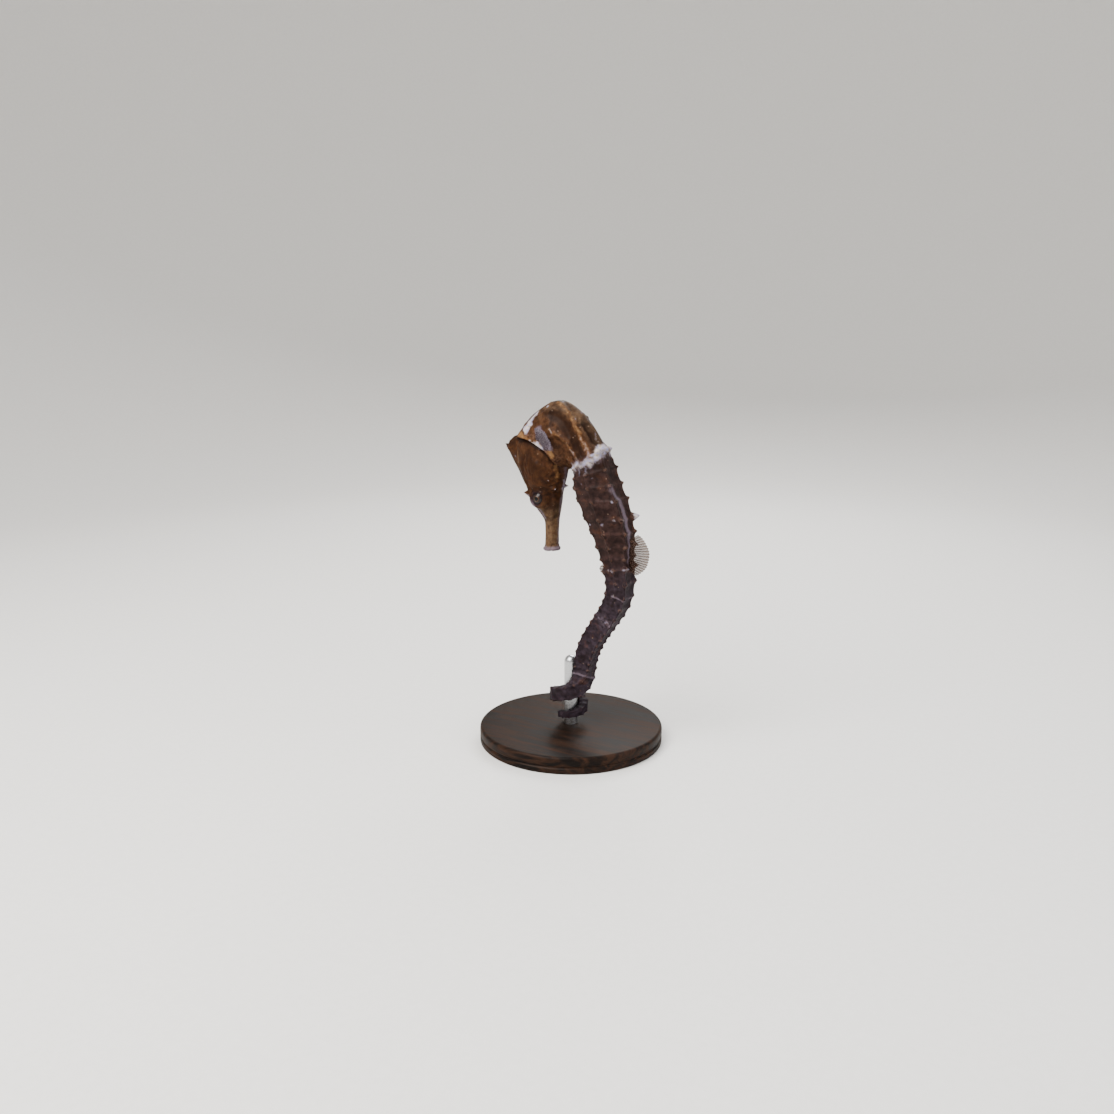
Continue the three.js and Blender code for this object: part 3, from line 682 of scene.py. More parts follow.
# A rough pale collar closes the hood: the ring position of its middle, from keel to back.
COLLAR = ([0, 2.2, 3.9, 4.8, 5.6, 7], [3.65, 3.74, 4.08, 4.15, 4.1, 3.98])
FOLDS = [(VALLEY, -0.6, 1.1), (UPPER_FOLD, 0.5, 0.6), (LOWER_FOLD, 0.35, 0.6), (HOLLOW, -0.4, 0.8)]
WARTS = {"count": 150, "scatter": 0.13, "smallest": 0.28, "largest": 0.6, "steepness": 0.75}


def hood_fold(places, m):
    """The hood's rim: how far it stands up, and how far it reaches forward over the head."""
    past = (m["ring"] - across(m["belt"], *RIM)) * m["pitch"]
    firm = smooth(m["belt"], 0.8, 2.4) * (1 - 0.15 * smooth(m["belt"], 6.2, 7))
    up = np.where(past > 0, 0.95 * np.exp(-np.maximum(past, 0) / 2.2), 0)
    up = up * smooth(past, -0.02, 0.28) - 0.5 * bump(past + 0.35, 0.8) * (past <= 0.05)
    forward = 0.55 * bump(past - 0.4, 0.55)
    folds = sum(
        height * bump(to_skin_line(places, m["side"], line), width) for line, height, width in FOLDS)
    return up * firm + folds, forward * firm


def collar_lumps(places):
    """Warts of many sizes along the collar."""
    dice = np.random.default_rng(9)
    height = np.zeros(len(places))
    for _ in range(WARTS["count"]):
        belt, side = dice.uniform(1.6, 7.0), dice.choice([1.0, -1.0])
        ring = across(belt, *COLLAR) + dice.normal(0, WARTS["scatter"])
        away = np.linalg.norm(places - spot(ring, belt, side), axis=1)
        size = dice.uniform(WARTS["smallest"], WARTS["largest"])
        height = np.maximum(height, WARTS["steepness"] * size * bump(away, size))
    return height


# %% [markdown]
# The eye of a seahorse turns on its own in a bony cup. The lid's edge lies on the eyeball, and outside it
# the cup rises to a rim. Both follow from the distance to the eye's axis, so the corners of the flank
# move straight out sideways to a profile drawn as a short curve.

# %% Eye cups
# How far from the middle plane the cup's profile stands, at these distances from the eye's axis.
CUP = ([1.5, 1.62, 1.8, 2.0, 2.3, 2.6, 3.1, 3.7], [4.5, 4.5, 4.52, 4.42, 4.6, 4.55, 4.2, 3.9])
LID = {"opening": (1.5, 1.64), "edge": 1.75, "thick": 0.12, "folds": 0.05}


def cup_eyes(places, m):
    """Moves the corners round each eye sideways into a bony cup with a lid."""
    flank = (m["ring"] < -1.5) & (m["ring"] > -6.3) & (m["belt"] > 1.2)
    away = np.hypot(places[:, 0] - EYE["x"], places[:, 2] - EYE["z"])
    ball = EYE["y"] + np.sqrt(np.maximum(EYE["radius"] ** 2 - away**2, 0))
    out = np.abs(places[:, 1])
    rim = across(away, *CUP) + LID["folds"] * np.cos(away * 22)
    lid = np.where(away < LID["edge"], np.maximum(rim, ball + LID["thick"]), rim)
    opened = smooth(away, *LID["opening"])
    profile = (ball - 0.45) * (1 - opened) + lid * opened
    share = np.where(flank, 1 - smooth(away, 2.35, 3.9), 0)
    places[:, 1] = np.where(share > 0, -m["side"] * (out + (profile - out) * share), places[:, 1])


# %% [markdown]
# The spines of the head and the coronet, the small crown that every seahorse wears, are too tall for a
# height along the normals: that would fan their corners apart. They are drawn out of the skin in one
# direction instead, most in the middle and nothing at the foot, as a potter pulls a spout. Proportional
# editing does the same by hand.

# %% Spines and the coronet
def pull(places, foot, way, height, radius, sharp=1.4):
    """Draws a spine out of the skin: way is its direction and radius its reach round the foot."""
    way = np.asarray(way, float) / np.linalg.norm(way)
    offset = places - foot
    along = offset @ way
    away = np.linalg.norm(offset - along[:, None] * way, axis=1)
    near = (np.abs(along) < 3) & (away < radius)
    lift = np.where(near, np.clip(1 - away / radius, 0, 1) ** sharp, 0)
    places += lift[:, None] * height * way
    return lift


CORONET = {"seat": (-14.6, 0, 83), "axis": (-0.86, 0, 0.51), "forward": (-0.51, 0, -0.86)}
# Its outline in the middle plane: how high it is above its seat, from the nape to the forehead.
CREST = ([-5.0, -4.2, -3.2, -1.6, 0.2, 0.9, 1.7, 3.3, 4.2, 5.4, 7.0],
         [4.0, 6.0, 6.9, 7.4, 7.9, 7.3, 5.8, 2.9, 1.0, -1.0, -3.6])


def raise_coronet(places, m):
    """A wedge drawn out of the crown, steep behind, sloping in front, with a crest of blunt points."""
    seat, axis, forward = (np.array(CORONET[key], float) for key in ("seat", "axis", "forward"))
    offset = places - seat
    along, lengthwise, crosswise = offset @ axis, offset @ forward, offset[:, 1]
    on_top = (m["belt"] > 4.6) & (np.abs(lengthwise) < 6.5) & (m["ring"] < 0.4)
    missing = np.where(on_top, np.maximum(across(lengthwise, *CREST) - along, 0), 0)
    half_width = 2.5 - 0.5 * smooth(np.abs(lengthwise), 0, 5)
    wedge = 1 - smooth(np.abs(crosswise), 0.25, half_width)
    lift = missing * wedge**1.2
    turn = np.arctan2(crosswise / 0.8, (lengthwise + 0.3) / 1.5)
    out = np.hypot(crosswise / 0.8, (lengthwise + 0.3) / 1.5)
    crest = smooth(lift, 2.4, 4.0)
    point = np.maximum(np.cos(5 * turn), 0) ** 2 * bump(out - 1.0, 0.45)
    lift += crest * (0.9 * point - 0.35 * bump(out, 0.6) - 0.12)
    places += lift[:, None] * axis
    places[:, 1] += 0.3 * crosswise * smooth(lift, 2.5, 5.0)
    return np.clip(crest * (0.25 + point), 0, 1)


# %% [markdown]
# Lids, and the points of the coronet, are smaller than the tube's faces. The faces round them are
# subdivided once or twice before anything is moved. A Subdivision Surface modifier would split the whole
# skin, and most of its faces are small enough already.

# %% Smaller faces where detail is small
def refine(piece, near, cuts=1):
    """Splits the faces whose corners are all near a feature."""
    corners = np.empty(len(piece.data.loops), int)
    piece.data.loops.foreach_get("vertex_index", corners)
    starts = np.empty(len(piece.data.polygons), int)
    piece.data.polygons.foreach_get("loop_start", starts)
    pick(piece, "FACE", np.minimum.reduceat(near[corners], starts).astype(bool))
    bpy.ops.mesh.subdivide(number_cuts=cuts)
    leave_edit()


places = positions(skin)
ring_now, belt_now = read_attribute(skin, "ring"), read_attribute(skin, "belt")
away_eye = np.hypot(places[:, 0] - EYE["x"], places[:, 2] - EYE["z"])
refine(skin, (away_eye < 3.3) & (belt_now > 2.2) & (ring_now < -2))
places = positions(skin)
crown = np.array(CORONET["seat"]) + 2.6 * np.array(CORONET["axis"])
refine(skin, np.linalg.norm(places - crown, axis=1) < 4.6, cuts=2)
pose(skin)
print("refined:", len(skin.data.polygons), "faces")

# %% [markdown]
# Everything is in place for the sculpting itself: the heights are summed and the corners moved along
# their normals, then the eye cups, the spines, the coronet and the mouth are shaped one after the other.

# %% Put the relief on
SPINES_ON_HEAD = [  # ring, belt, height, radius, lean
    (-4.15, 6.0, 1.9, 1.15, (-0.35, 0.0, 0.25)),  # over the eye
    (-3.1, 2.0, 1.5, 1.0, (0.25, 0.0, 0.1)),  # on the cheek
    (-2.2, 2.6, 0.8, 0.8, (0.2, 0.0, 0.2)),  # a smaller one behind it
    (-1.9, 6.1, 0.5, 0.8, (-0.2, 0.0, 0.1)),
]

measures = skin_measures(skin)
normals = np.empty(len(skin.data.vertices) * 3)
skin.data.vertices.foreach_get("normal", normals)
normals = normals.reshape(-1, 3)
places = positions(skin)
plain = places.copy()
tops, spines = ring_relief(measures)
up, forward = hood_fold(plain, measures)
closed_ends = 1 - smooth(measures["inset"], 0.02, 0.2)
height = (tops + head_relief(plain, measures) + up + collar_lumps(plain)) * closed_ends
places += height[:, None] * normals - forward[:, None] * measures["onward"]
cup_eyes(places, measures)
for ring, belt, tall, reach, lean in SPINES_ON_HEAD:
    for side in (1.0, -1.0):
        foot = spot(ring, belt, side)
        middle = frames(np.array([ring]))[0][0]
        way = (foot - middle) / np.linalg.norm(foot - middle) + np.array(lean)
        spines = np.maximum(spines, pull(places, foot, way, tall, reach))
nose_spine = pull(places, np.array([-11.6, 0, 69.6]), (-1, 0, -0.15), 0.9, 1.1)
spines = np.maximum(spines, nose_spine)
crown_points = raise_coronet(places, measures)
# The mouth is a slit across the tip of the snout, near its upper edge.
inside = smooth(measures["inset"], 0.12, 0.4) * (measures["ring"] < -7)
centre, upward, _, deep, _ = frames(np.full(1, float(FIRST_RING)))
depth = (places - centre) @ upward[0]
places += (inside * (0.25 * deep[0] - 0.72 * depth))[:, None] * upward[0]
set_positions(skin, places)
write_attribute(skin, "height", height)
write_attribute(skin, "spine", spines)
activate(skin)
bpy.ops.object.shade_smooth()
print("skin top at", round(places[:, 2].max(), 2), "mm")

# %% [markdown]
# ## Markings
#
# The pattern is partly tied to the body: a collar behind the hood and a few tail rings are pale, and the
# spines end in cream. The pale and gold on the hood's rim is largely painted highlight, and gold lines on
# the folds and pale spots on the arch and the forehead are painted highlights too. Painted shade lies in
# the hollows, under the rim, round the eyes and under the belly. Those marks are drawn on the skin as
# lines and dots, in rings and ridges, and kept with the corners as soft-edged masks. The material breaks
# their edges up later.

# %% Draw the masks
# Distances are measured from slightly shifted places, which makes the edges of the marks wander.
wander = 0.3 * np.sin(plain[:, [1, 2, 0]] * 2.1 + [0.3, 1.1, 2.0]) + 0.2 * np.sin(plain[:, [2, 0, 1]] * 4.7)


def stroke(lines, loose=1.0, left_only=False):
    """A mask from lines given as (width in mm, strength, [(ring, belt), ...]). A loose line wanders more."""
    mask = np.zeros(len(plain))
    for width, strength, pairs in lines:
        if len(pairs) == 1:
            pairs = [pairs[0], (pairs[0][0] + NUDGE, pairs[0][1])]
        places = plain + wander * min(width, 1.0) * loose
        away = to_line(places, on_skin(pairs, 1))
        if not left_only:
            away = np.where(measures["side"] > 0, away, to_line(places, on_skin(pairs, -1)))
        mask = np.maximum(mask, strength * bump(away, width))
    return mask


print("wander up to", round(float(np.abs(wander).max()), 2), "mm")

# %% The marks
PALE_MARKS_AND_HIGHLIGHTS = stroke([
    (0.5, 0.95, [(0.6, 4.8), (0.85, 4.15), (1.07, 3.5)]),  # a pale streak on the rim, partly painted highlight
    # The white patch on the hood's shoulder is partly a painted highlight.
    (1.1, 1.15, [(0.62, 5.88), (0.85, 6.02)]), (0.95, 1.1, [(0.85, 6.02), (1.22, 6.4)]),  # hood's shoulder
    (1.5, 0.6, [(3.74, 2.2), (4.08, 3.9), (4.15, 4.8), (4.1, 5.6), (3.98, 7.0)]),  # the collar
    (1.2, 0.92, [(4.0, 5.5), (3.85, 6.2), (3.9, 7.0)]),
    (0.8, 0.38, [(3.2, 5.24), (3.66, 5.06), (3.95, 5.0)]),  # streaks into it and out of it
    (0.7, 0.34, [(3.0, 3.55), (3.4, 3.4), (3.7, 3.3)]),
    (0.8, 0.42, [(3.45, 6.75), (3.85, 6.5)]),
    (0.8, 0.42, [(4.1, 4.2), (4.5, 4.25), (4.75, 4.0)]),
    (0.8, 0.36, [(4.1, 3.1), (4.6, 2.95)]),
    (0.7, 0.4, [(2.75, 6.95), (3.3, 6.95)]),
    (0.9, 0.36, [(17.1, 3.0), (17.15, 3.8)]), (0.8, 0.32, [(17.0, 4.6), (16.9, 6.1)]),  # a tail saddle
    # The first two spots here, on top of the hood's arch, are painted highlights.
    (0.6, 0.7, [(1.64, 6.41)]), (0.5, 0.75, [(2.1, 6.85)]), (0.45, 0.5, [(1.68, 4.5), (1.75, 4.3)]),
    (0.4, 0.45, [(2.63, 3.81)]), (0.65, 0.52, [(6.36, 5.63)]),  # spots on hood, trunk and tail
    (0.65, 0.52, [(7.6, 5.35)]), (0.6, 0.5, [(7.86, 4.27)]), (0.5, 0.48, [(9.6, 4.34)]),
    (0.55, 0.6, [(11.5, 3.8)]), (0.45, 0.55, [(11.45, 3.0)]), (0.45, 0.5, [(13.95, 3.9)]),
    (0.5, 0.6, [(8.0, 2.2)]), (0.5, 0.55, [(8.9, 2.0)]),
    (0.5, 0.5, [(5.2, 3.2)]), (0.45, 0.5, [(5.0, 4.6)]),
    (0.6, 0.8, [(-4.15, 6.0)]),  # the tip over the eye
    (0.8, 0.45, [(-1.2, 0.5), (-2.2, 0.4), (-3.4, 0.3)]),  # the throat
    (0.4, 0.5, [(-2.6, 6.6)]), (0.4, 0.45, [(-1.4, 6.5)]),  # painted highlights on the forehead
])
MAUVE = stroke([
    (1.3, 1.0, [(1.13, 5.0), (1.25, 4.1), (1.25, 3.3)]),  # behind the rim
    (1.0, 0.8, [(-4.3, 6.3), (-4.8, 5.6), (-5.4, 5.0), (-5.9, 5.0)]),  # round the eye to the snout
    (0.9, 0.6, [(0.9, 0.6), (-1.2, 0.3), (-4.0, 0.0), (-6.0, 0.0), (-9.0, 0.0)]),  # under the head
    (1.0, 0.85, [(-9.0, 0.0), (-9.0, 7.0)]),  # the lips
    (1.9, 0.6, [(3.8, 2.4), (4.1, 4.2), (4.1, 5.5), (4.0, 7.0)]),  # round the collar
    (2.2, 0.45, [(17.0, 3.0), (17.0, 7.0)]),  # rings of the tail
    (0.36, 0.8, [(14.1, 3.4), (14.15, 5.2), (14.2, 6.6)]),
    (0.45, 0.75, [(24.65, 1.8), (24.75, 4.5), (24.8, 7.0)]),
], 0.4)
BACK_BAND = [(5.75, 6.2), (6.2, 6.6), (6.8, 6.95), (7.8, 6.9), (8.9, 7.0), (10.8, 7.0)]
MAUVE = np.maximum(MAUVE, stroke([(1.25, 0.85, BACK_BAND)], 0.4, left_only=True))
# Painted highlights in gold on the rim, the lower cheek, the ridges of the folds and the forehead's edge.
GOLD_HIGHLIGHTS = stroke([
    (0.6, 1.0, [(0.2, 6.7), (0.38, 5.8), (0.5, 5.1), (0.75, 4.5), (1.0, 3.8), (1.12, 3.3), (1.1, 2.6)]),
    (1.1, 0.55, [(-1.6, 1.4), (-0.4, 1.6), (0.7, 1.9)]),
    (0.75, 0.7, UPPER_FOLD),
    (0.65, 0.5, LOWER_FOLD),
    (0.8, 0.45, [(-0.9, 6.2), (-2.4, 6.3), (-3.6, 6.3)]),  # painted highlight on the edge of the forehead
])
# Painted shade where light doesn't reach, and a few dark spots behind the collar.
SHADE_AND_DARK_SPOTS = stroke([
    (0.7, 0.95, [(-0.15, 6.5), (0.25, 5.4), (0.5, 4.6), (0.78, 3.6), (0.7, 2.7)]),  # in the rim's shadow
    # painted shade in the valley between the hood's folds
    (1.4, 0.55, VALLEY), (1.0, 0.7, [(3.1, 4.5), (3.6, 4.3)]),
    # painted shade in the hollow near the back, then dark spots behind the collar
    (0.9, 0.9, HOLLOW), (1.0, 0.9, [(4.55, 6.25), (4.55, 5.4)]), (1.6, 0.6, [(4.9, 5.0)]),
    (2.8, 0.55, [(0.0, 4.6), (-0.8, 3.8)]), (2.2, 0.35, [(-0.8, 3.8), (-1.9, 3.9)]),  # painted shade on the cheek
    (1.7, 0.95, [(-4.6, 4.9), (-4.1, 4.4)]),  # painted shade round the eye
    (2.5, 0.5, [(5.0, 1.0), (8.0, 1.2), (11.0, 1.2)]),  # painted shade under the belly
])

# %% Pale tips of the spines
PALE_MARKS_AND_HIGHLIGHTS = np.maximum(PALE_MARKS_AND_HIGHLIGHTS, np.where(measures["ring"] < 4.4, 0.7, 0.42) * smooth(spines, 0.5, 0.95))
on_cheek_spine = (measures["side"] < 0) & (np.abs(measures["ring"] + 3.1) < 1) & (measures["belt"] < 3.5)
PALE_MARKS_AND_HIGHLIGHTS = np.maximum(PALE_MARKS_AND_HIGHLIGHTS, on_cheek_spine * 0.9 * smooth(spines, 0.1, 0.5))
on_tall_spine = (measures["side"] < 0) & (np.abs(measures["ring"] - 7.4) < 0.6) & (measures["belt"] > 5)
PALE_MARKS_AND_HIGHLIGHTS = np.maximum(PALE_MARKS_AND_HIGHLIGHTS, on_tall_spine * smooth(spines, 0.3, 0.7))
PALE_MARKS_AND_HIGHLIGHTS = np.maximum(PALE_MARKS_AND_HIGHLIGHTS, 0.6 * smooth(crown_points, 0.55, 0.95))
for name, mask in [("pale", PALE_MARKS_AND_HIGHLIGHTS), ("mauve", MAUVE), ("gold_highlight", GOLD_HIGHLIGHTS), ("dark", SHADE_AND_DARK_SPOTS)]:
    write_attribute(skin, name, mask)
print("pale share", round(float(PALE_MARKS_AND_HIGHLIGHTS.mean()), 3))

# %% [markdown]
# ## Materials
#
# A material here is written as a small program: a `Sheet` adds nodes, and a `Wire` is the output of one,
# so sums of wires make Math nodes.

# %% Wires
class Wire:
    """A node's output that can be added, multiplied and so on."""

    def __init__(self, sheet, socket):
        self.sheet, self.socket = sheet, socket

    def maths(self, operation, other, swapped=False):
        a, b = (other, self) if swapped else (self, other)
        return self.sheet.node("ShaderNodeMath", {"operation": operation}, {0: a, 1: b})

    def __add__(self, other):
        return self.maths("ADD", other)

    def __sub__(self, other):
        return self.maths("SUBTRACT", other)

    def __rsub__(self, other):
        return self.maths("SUBTRACT", other, True)

    def __mul__(self, other):
        return self.maths("MULTIPLY", other)

    __radd__, __rmul__ = __add__, __mul__


# %% Sheets
class Sheet:
    """A new material and its nodes."""

    def __init__(self, name, **constants):
        self.material = bpy.data.materials.new(name)
        self.material.use_nodes = True
        self.tree = self.material.node_tree
        self.shader = self.tree.nodes["Principled BSDF"]
        self.set(**constants)

    def node(self, kind, settings=None, inputs=None, output=0):
        made = self.tree.nodes.new(kind)
        for key, value in (settings or {}).items():
            setattr(made, key, value)
        for key, value in (inputs or {}).items():
            self.feed(made.inputs[key], value)
        return Wire(self, made.outputs[output])

    def feed(self, socket, value):
        if isinstance(value, Wire):
            self.tree.links.new(value.socket, socket)
        elif socket.type == "RGBA":
            socket.default_value = (*value[:3], 1)
        else:
            socket.default_value = value

    def set(self, **values):
        """Feeds the shader's sockets: base_color=... goes to Base Color."""
        for key, value in values.items():
            self.feed(self.shader.inputs[SOCKETS.get(key, key)], value)

    def attribute(self, name):
        return self.node("ShaderNodeAttribute", {"attribute_name": name}, output="Fac")

    def place(self):
        """Object coordinates in millimetres."""
        metres = self.node("ShaderNodeTexCoord", output="Object")
        return self.node("ShaderNodeVectorMath", {"operation": "SCALE"}, {0: metres, "Scale": 1000.0})

    def noise(self, place, scale, detail=3.0, rough=0.5, warp=0.0):
        inputs = {"Vector": place, "Scale": scale, "Detail": detail, "Roughness": rough, "Distortion": warp}
        return self.node("ShaderNodeTexNoise", None, inputs)

    def cells(self, place, scale, feature="F1"):
        """The distance to the nearest of many scattered points."""
        inputs = {"Vector": place, "Scale": scale}
        return self.node("ShaderNodeTexVoronoi", {"feature": feature}, inputs, output="Distance")

    def step(self, value, start, end, low=0.0, high=1.0):
        """Goes smoothly from low to high as value goes from start to end."""
        inputs = {"Value": value, "From Min": start, "From Max": end, "To Min": low, "To Max": high}
        return self.node("ShaderNodeMapRange", {"interpolation_type": "SMOOTHSTEP"}, inputs)

    def mix(self, share, a, b, blend="MIX"):
        inputs = {0: share, 6: a, 7: b}
        return self.node("ShaderNodeMix", {"data_type": "RGBA", "blend_type": blend}, inputs, output=2)

    def bump(self, height, strength, depth, below=None):
        inputs = {"Height": height, "Strength": strength, "Distance": depth}
        if below:
            inputs["Normal"] = below
        return self.node("ShaderNodeBump", None, inputs)


SOCKETS = {
    "base_color": "Base Color", "roughness": "Roughness", "metallic": "Metallic", "normal": "Normal",
    "coat": "Coat Weight", "coat_roughness": "Coat Roughness", "alpha": "Alpha",
    "specular": "Specular IOR Level",
    "subsurface": "Subsurface Weight", "subsurface_scale": "Subsurface Scale",
}


def srgb(*levels):
    """A colour from the usual 0 to 255 numbers."""
    return tuple(c / 255 / 12.92 if c < 11 else ((c / 255 + 0.055) / 1.055) ** 2.4 for c in levels)


# %% [markdown]
# The skin's colour is laid on like paint on a museum model: first a ground colour for each part of the
# body, then painted shade in the hollows and a painted highlight on raised ridges, then the soft marks
# with their own painted shade and highlights, small dots, and last the chalky white. Noise at three
# scales breaks each edge up, and all of it is placed in object coordinates, so nothing stretches. A
# live seahorse is moist; the model has a dull satin finish, with a very thin coat over rough skin.

# %% The skin's material
def skin_material():
    s = Sheet("seahorse_skin", specular=0.03, coat=0.03, coat_roughness=0.28)
    s.set(subsurface=0.03, subsurface_scale=0.0005)
    place = s.place()
    ring, belt, height = s.attribute("ring"), s.attribute("belt"), s.attribute("height")
    patches = s.noise(place, 0.22, 3.0, 0.5, 0.5)
    blotch = s.noise(place, 0.42, 4.0, 0.6, 0.8)
    mottle = s.noise(place, 1.2, 6.0, 0.62, 0.4)
    grain = s.noise(place, 5.5, 4.0, 0.6)
    soft = s.noise(place, 0.75, 2.0, 0.5, 0.3)
    far = ring + (blotch - 0.5) * 2.0
    shade = s.step(soft * 0.45 + blotch * 0.3 + mottle * 0.25, 0.36, 0.64)

    def tones(dark, light):
        return s.mix(shade, srgb(*dark), srgb(*light))

    head, hood = tones((38, 21, 12), (58, 35, 19)), tones((42, 24, 14), (72, 47, 30))
    colour = s.mix(s.step(far, -0.8, 0.8), head, hood)
    colour = s.mix(s.step(far, -4.3, -5.6), colour, tones((60, 43, 30), (91, 70, 51)))
    on_nape = s.step(belt, 5.4, 6.2) * s.step(far, 1.2, 1.8)
    colour = s.mix(on_nape, colour, tones((52, 37, 26), (79, 60, 44)))
    colour = s.mix(s.step(far, 3.4, 4.4), colour, tones((28, 19, 18), (53, 37, 34)))
    colour = s.mix(s.step(far, 9.5, 14.0), colour, tones((27, 20, 24), (49, 40, 47)))
    colour = s.mix(s.step(patches, 0.52, 0.66, 0.0, 0.45), colour, srgb(20, 11, 9))
    rust = s.step(patches, 0.46, 0.36) * s.step(blotch, 0.42, 0.62)
    colour = s.mix(rust * 0.3, colour, srgb(74, 43, 23))

    # Painted shade: skin that sinks between the rings and ridges is darker.
    colour = s.mix(s.step(height, 0.0, -0.22, 0.0, 0.5), colour, srgb(14, 8, 8))
    # Painted highlight: raised hoops and ridges behind the head are lighter in patches.
    ridge_highlight = s.step(height, 0.2, 0.5, 0.0, 0.3) * s.step(mottle, 0.4, 0.6) * s.step(far, -0.6, 0.6)
    colour = s.mix(ridge_highlight, colour, srgb(104, 78, 64))
    # Painted shade under the rim, in the folds, round the eyes and under the belly, and dark spots.
    dark = s.step(s.attribute("dark") + (blotch - 0.5) * 0.5, 0.1, 0.9, 0.0, 0.85)
    colour = s.mix(dark, colour, s.mix(s.step(ring, -2.2, -3.2), srgb(26, 13, 7), srgb(34, 25, 32)))
    mauve = s.step(s.attribute("mauve") + (mottle - 0.5) * 0.6 + (blotch - 0.5) * 0.6, 0.2, 0.9, 0.0, 0.8)
    colour = s.mix(mauve, colour, srgb(97, 85, 95))
    # Painted highlights in gold on the rim, the folds, the forehead's edge and the lower cheek.
    flecks = 1.0 + (blotch - 0.5) * 1.5 + (mottle - 0.5) * 2.0
    gold_highlight = s.step(s.attribute("gold_highlight") * flecks, 0.15, 1.1, 0.0, 0.85)
    colour = s.mix(gold_highlight, colour, s.mix(shade, srgb(100, 64, 34), srgb(136, 102, 66)))

    cells = s.cells(place, 0.7)
    dots = s.step(cells, 0.22, 0.06) * s.step(blotch, 0.5, 0.6)
    colour = s.mix(dots * 0.4, colour, srgb(130, 108, 92))
    # Pale marks in chalky white, with the painted highlights on the rim, hood and forehead among them.
    ragged = (blotch - 0.5) * 2.0 + (mottle - 0.5) * 2.0
    pale = s.step(s.attribute("pale") * (1.0 + ragged), 0.2, 0.95, 0.0, 0.95)
    chalk = s.mix(s.step(mottle, 0.42, 0.6), srgb(190, 178, 168), srgb(146, 143, 171))
    colour = s.mix(pale, colour, chalk)
    colour = s.mix(s.step(grain, 0.45, 0.75, 0.0, 0.25), colour, srgb(14, 9, 8))

    pores = s.noise(place, 9.0, 3.0, 0.6)
    wart = s.cells(place, 2.4, "SMOOTH_F1")
    normal = s.bump(pores, 0.3, 0.00006)
    normal = s.bump(wart, 0.3, 0.00012, normal)
    normal = s.bump(mottle, 0.5, 0.00025, normal)
    s.set(base_color=colour, normal=normal, roughness=s.step(mottle + pale * 0.3, 0.3, 1.0, 0.55, 0.8))
    return s.material


skin.data.materials.clear()
skin.data.materials.append(skin_material())
flesh = ["mouth", "snout", "head", "coronet", "neck_1", "neck_2", "trunk_1", "trunk_2", "trunk_3"]
flesh += [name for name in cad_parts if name.startswith("tail_")]
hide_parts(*flesh)
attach(skin, "root")
print("the skin stands for", len(flesh), "solids")

# %% [markdown]
# ## Eyes
#
# A seahorse's eye is a glossy ball with a dark pupil in an iris flecked with gold, under a clear cornea
# that stands out a little. The lids of the skin lie on the ball, so the ball itself can be whole: a
# sphere turned with its pole outwards, whose pole is then drawn out with proportional editing.

# %% Eyeballs
def eye_material():
    s = Sheet("eye", coat=0.3, coat_roughness=0.03, roughness=0.5, specular=0.05)
    place = s.place()
    out = s.attribute("from_axis")
    streak = s.noise(place, 4.0, 5.0, 0.7)
    colour = s.mix(s.step(streak, 0.35, 0.7), srgb(14, 9, 11), srgb(50, 34, 30))
    ring = s.step(out, 0.6, 0.66) * s.step(out, 0.82, 0.68)
    colour = s.mix(ring * s.step(streak, 0.4, 0.62, 0.1, 0.6), colour, srgb(120, 80, 40))
    colour = s.mix(s.step(out, 0.63, 0.58), colour, srgb(2, 2, 3))
    colour = s.mix(s.step(out, 1.1, 1.6), colour, srgb(12, 8, 9))
    s.set(base_color=colour)
    return s.material


CORNEA = {"top": 0.4, "slope": 1.1, "rise": 0.12}
iris = eye_material()
for name, side in [("eye_left", -1), ("eye_right", 1)]:
    deselect_all()
    bpy.ops.mesh.primitive_uv_sphere_add(segments=64, ring_count=40, radius=EYE["radius"] * MM)
    ball = bpy.context.object
    ball.name = name + "_ball"
    bpy.ops.object.mode_set(mode="EDIT")
    bpy.ops.mesh.select_all(action="SELECT")
    bpy.ops.transform.rotate(value=math.radians(90 * side), orient_axis="X", center_override=(0, 0, 0))
    bpy.ops.transform.translate(value=(EYE["x"] * MM, side * EYE["y"] * MM, EYE["z"] * MM))
    leave_edit()
    co = positions(ball)
    from_axis = np.hypot(co[:, 0] - EYE["x"], co[:, 2] - EYE["z"])
    pick(ball, "VERT", (from_axis < CORNEA["top"]) & (co[:, 1] * side > EYE["y"]))
    bpy.ops.transform.translate(
        value=(0, side * CORNEA["rise"] * MM, 0), use_proportional_edit=True,
        proportional_edit_falloff="SMOOTH", proportional_size=CORNEA["slope"] * MM)
    leave_edit()
    write_attribute(ball, "from_axis", from_axis)
    bpy.ops.object.shade_smooth()
    ball.data.materials.append(iris)
    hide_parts(name)
    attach(ball, "root")
print("eyes at", EYE)

# %% [markdown]
# ## Fins
#
# A fin is a thin skin held by rays. A flat grid is bent into a fan with the rays as ridges, and a
# Solidify modifier gives it a thickness. Between the rays the skin is clearer than on them.

# %% The fins' material
def fin_material(name, web, ray_colour, edge):
    s = Sheet(name, roughness=0.5, specular=0.2, coat=0.08, coat_roughness=0.25)
    place = s.place()
    ray = s.attribute("ray")
    mottle = s.noise(place, 1.4, 4.0, 0.6)
    colour = s.mix(s.step(mottle, 0.35, 0.65, 0.0, 0.5), srgb(*web), srgb(*ray_colour))
    colour = s.mix(s.step(ray, 0.3, 0.8, 0.0, 0.85), colour, srgb(*ray_colour))
    colour = s.mix(s.step(s.attribute("reach"), 0.7, 0.95, 0.0, 0.6), colour, srgb(*edge))
    s.set(base_color=colour, alpha=s.step(ray, 0.05, 0.8, 0.5, 0.92), normal=s.bump(mottle, 0.3, 0.00008))
    return s.material


# %% A fan of rays
FACES_PER_RAY, FACES_ALONG = 6, 26
WEB_THICKNESS = 0.16


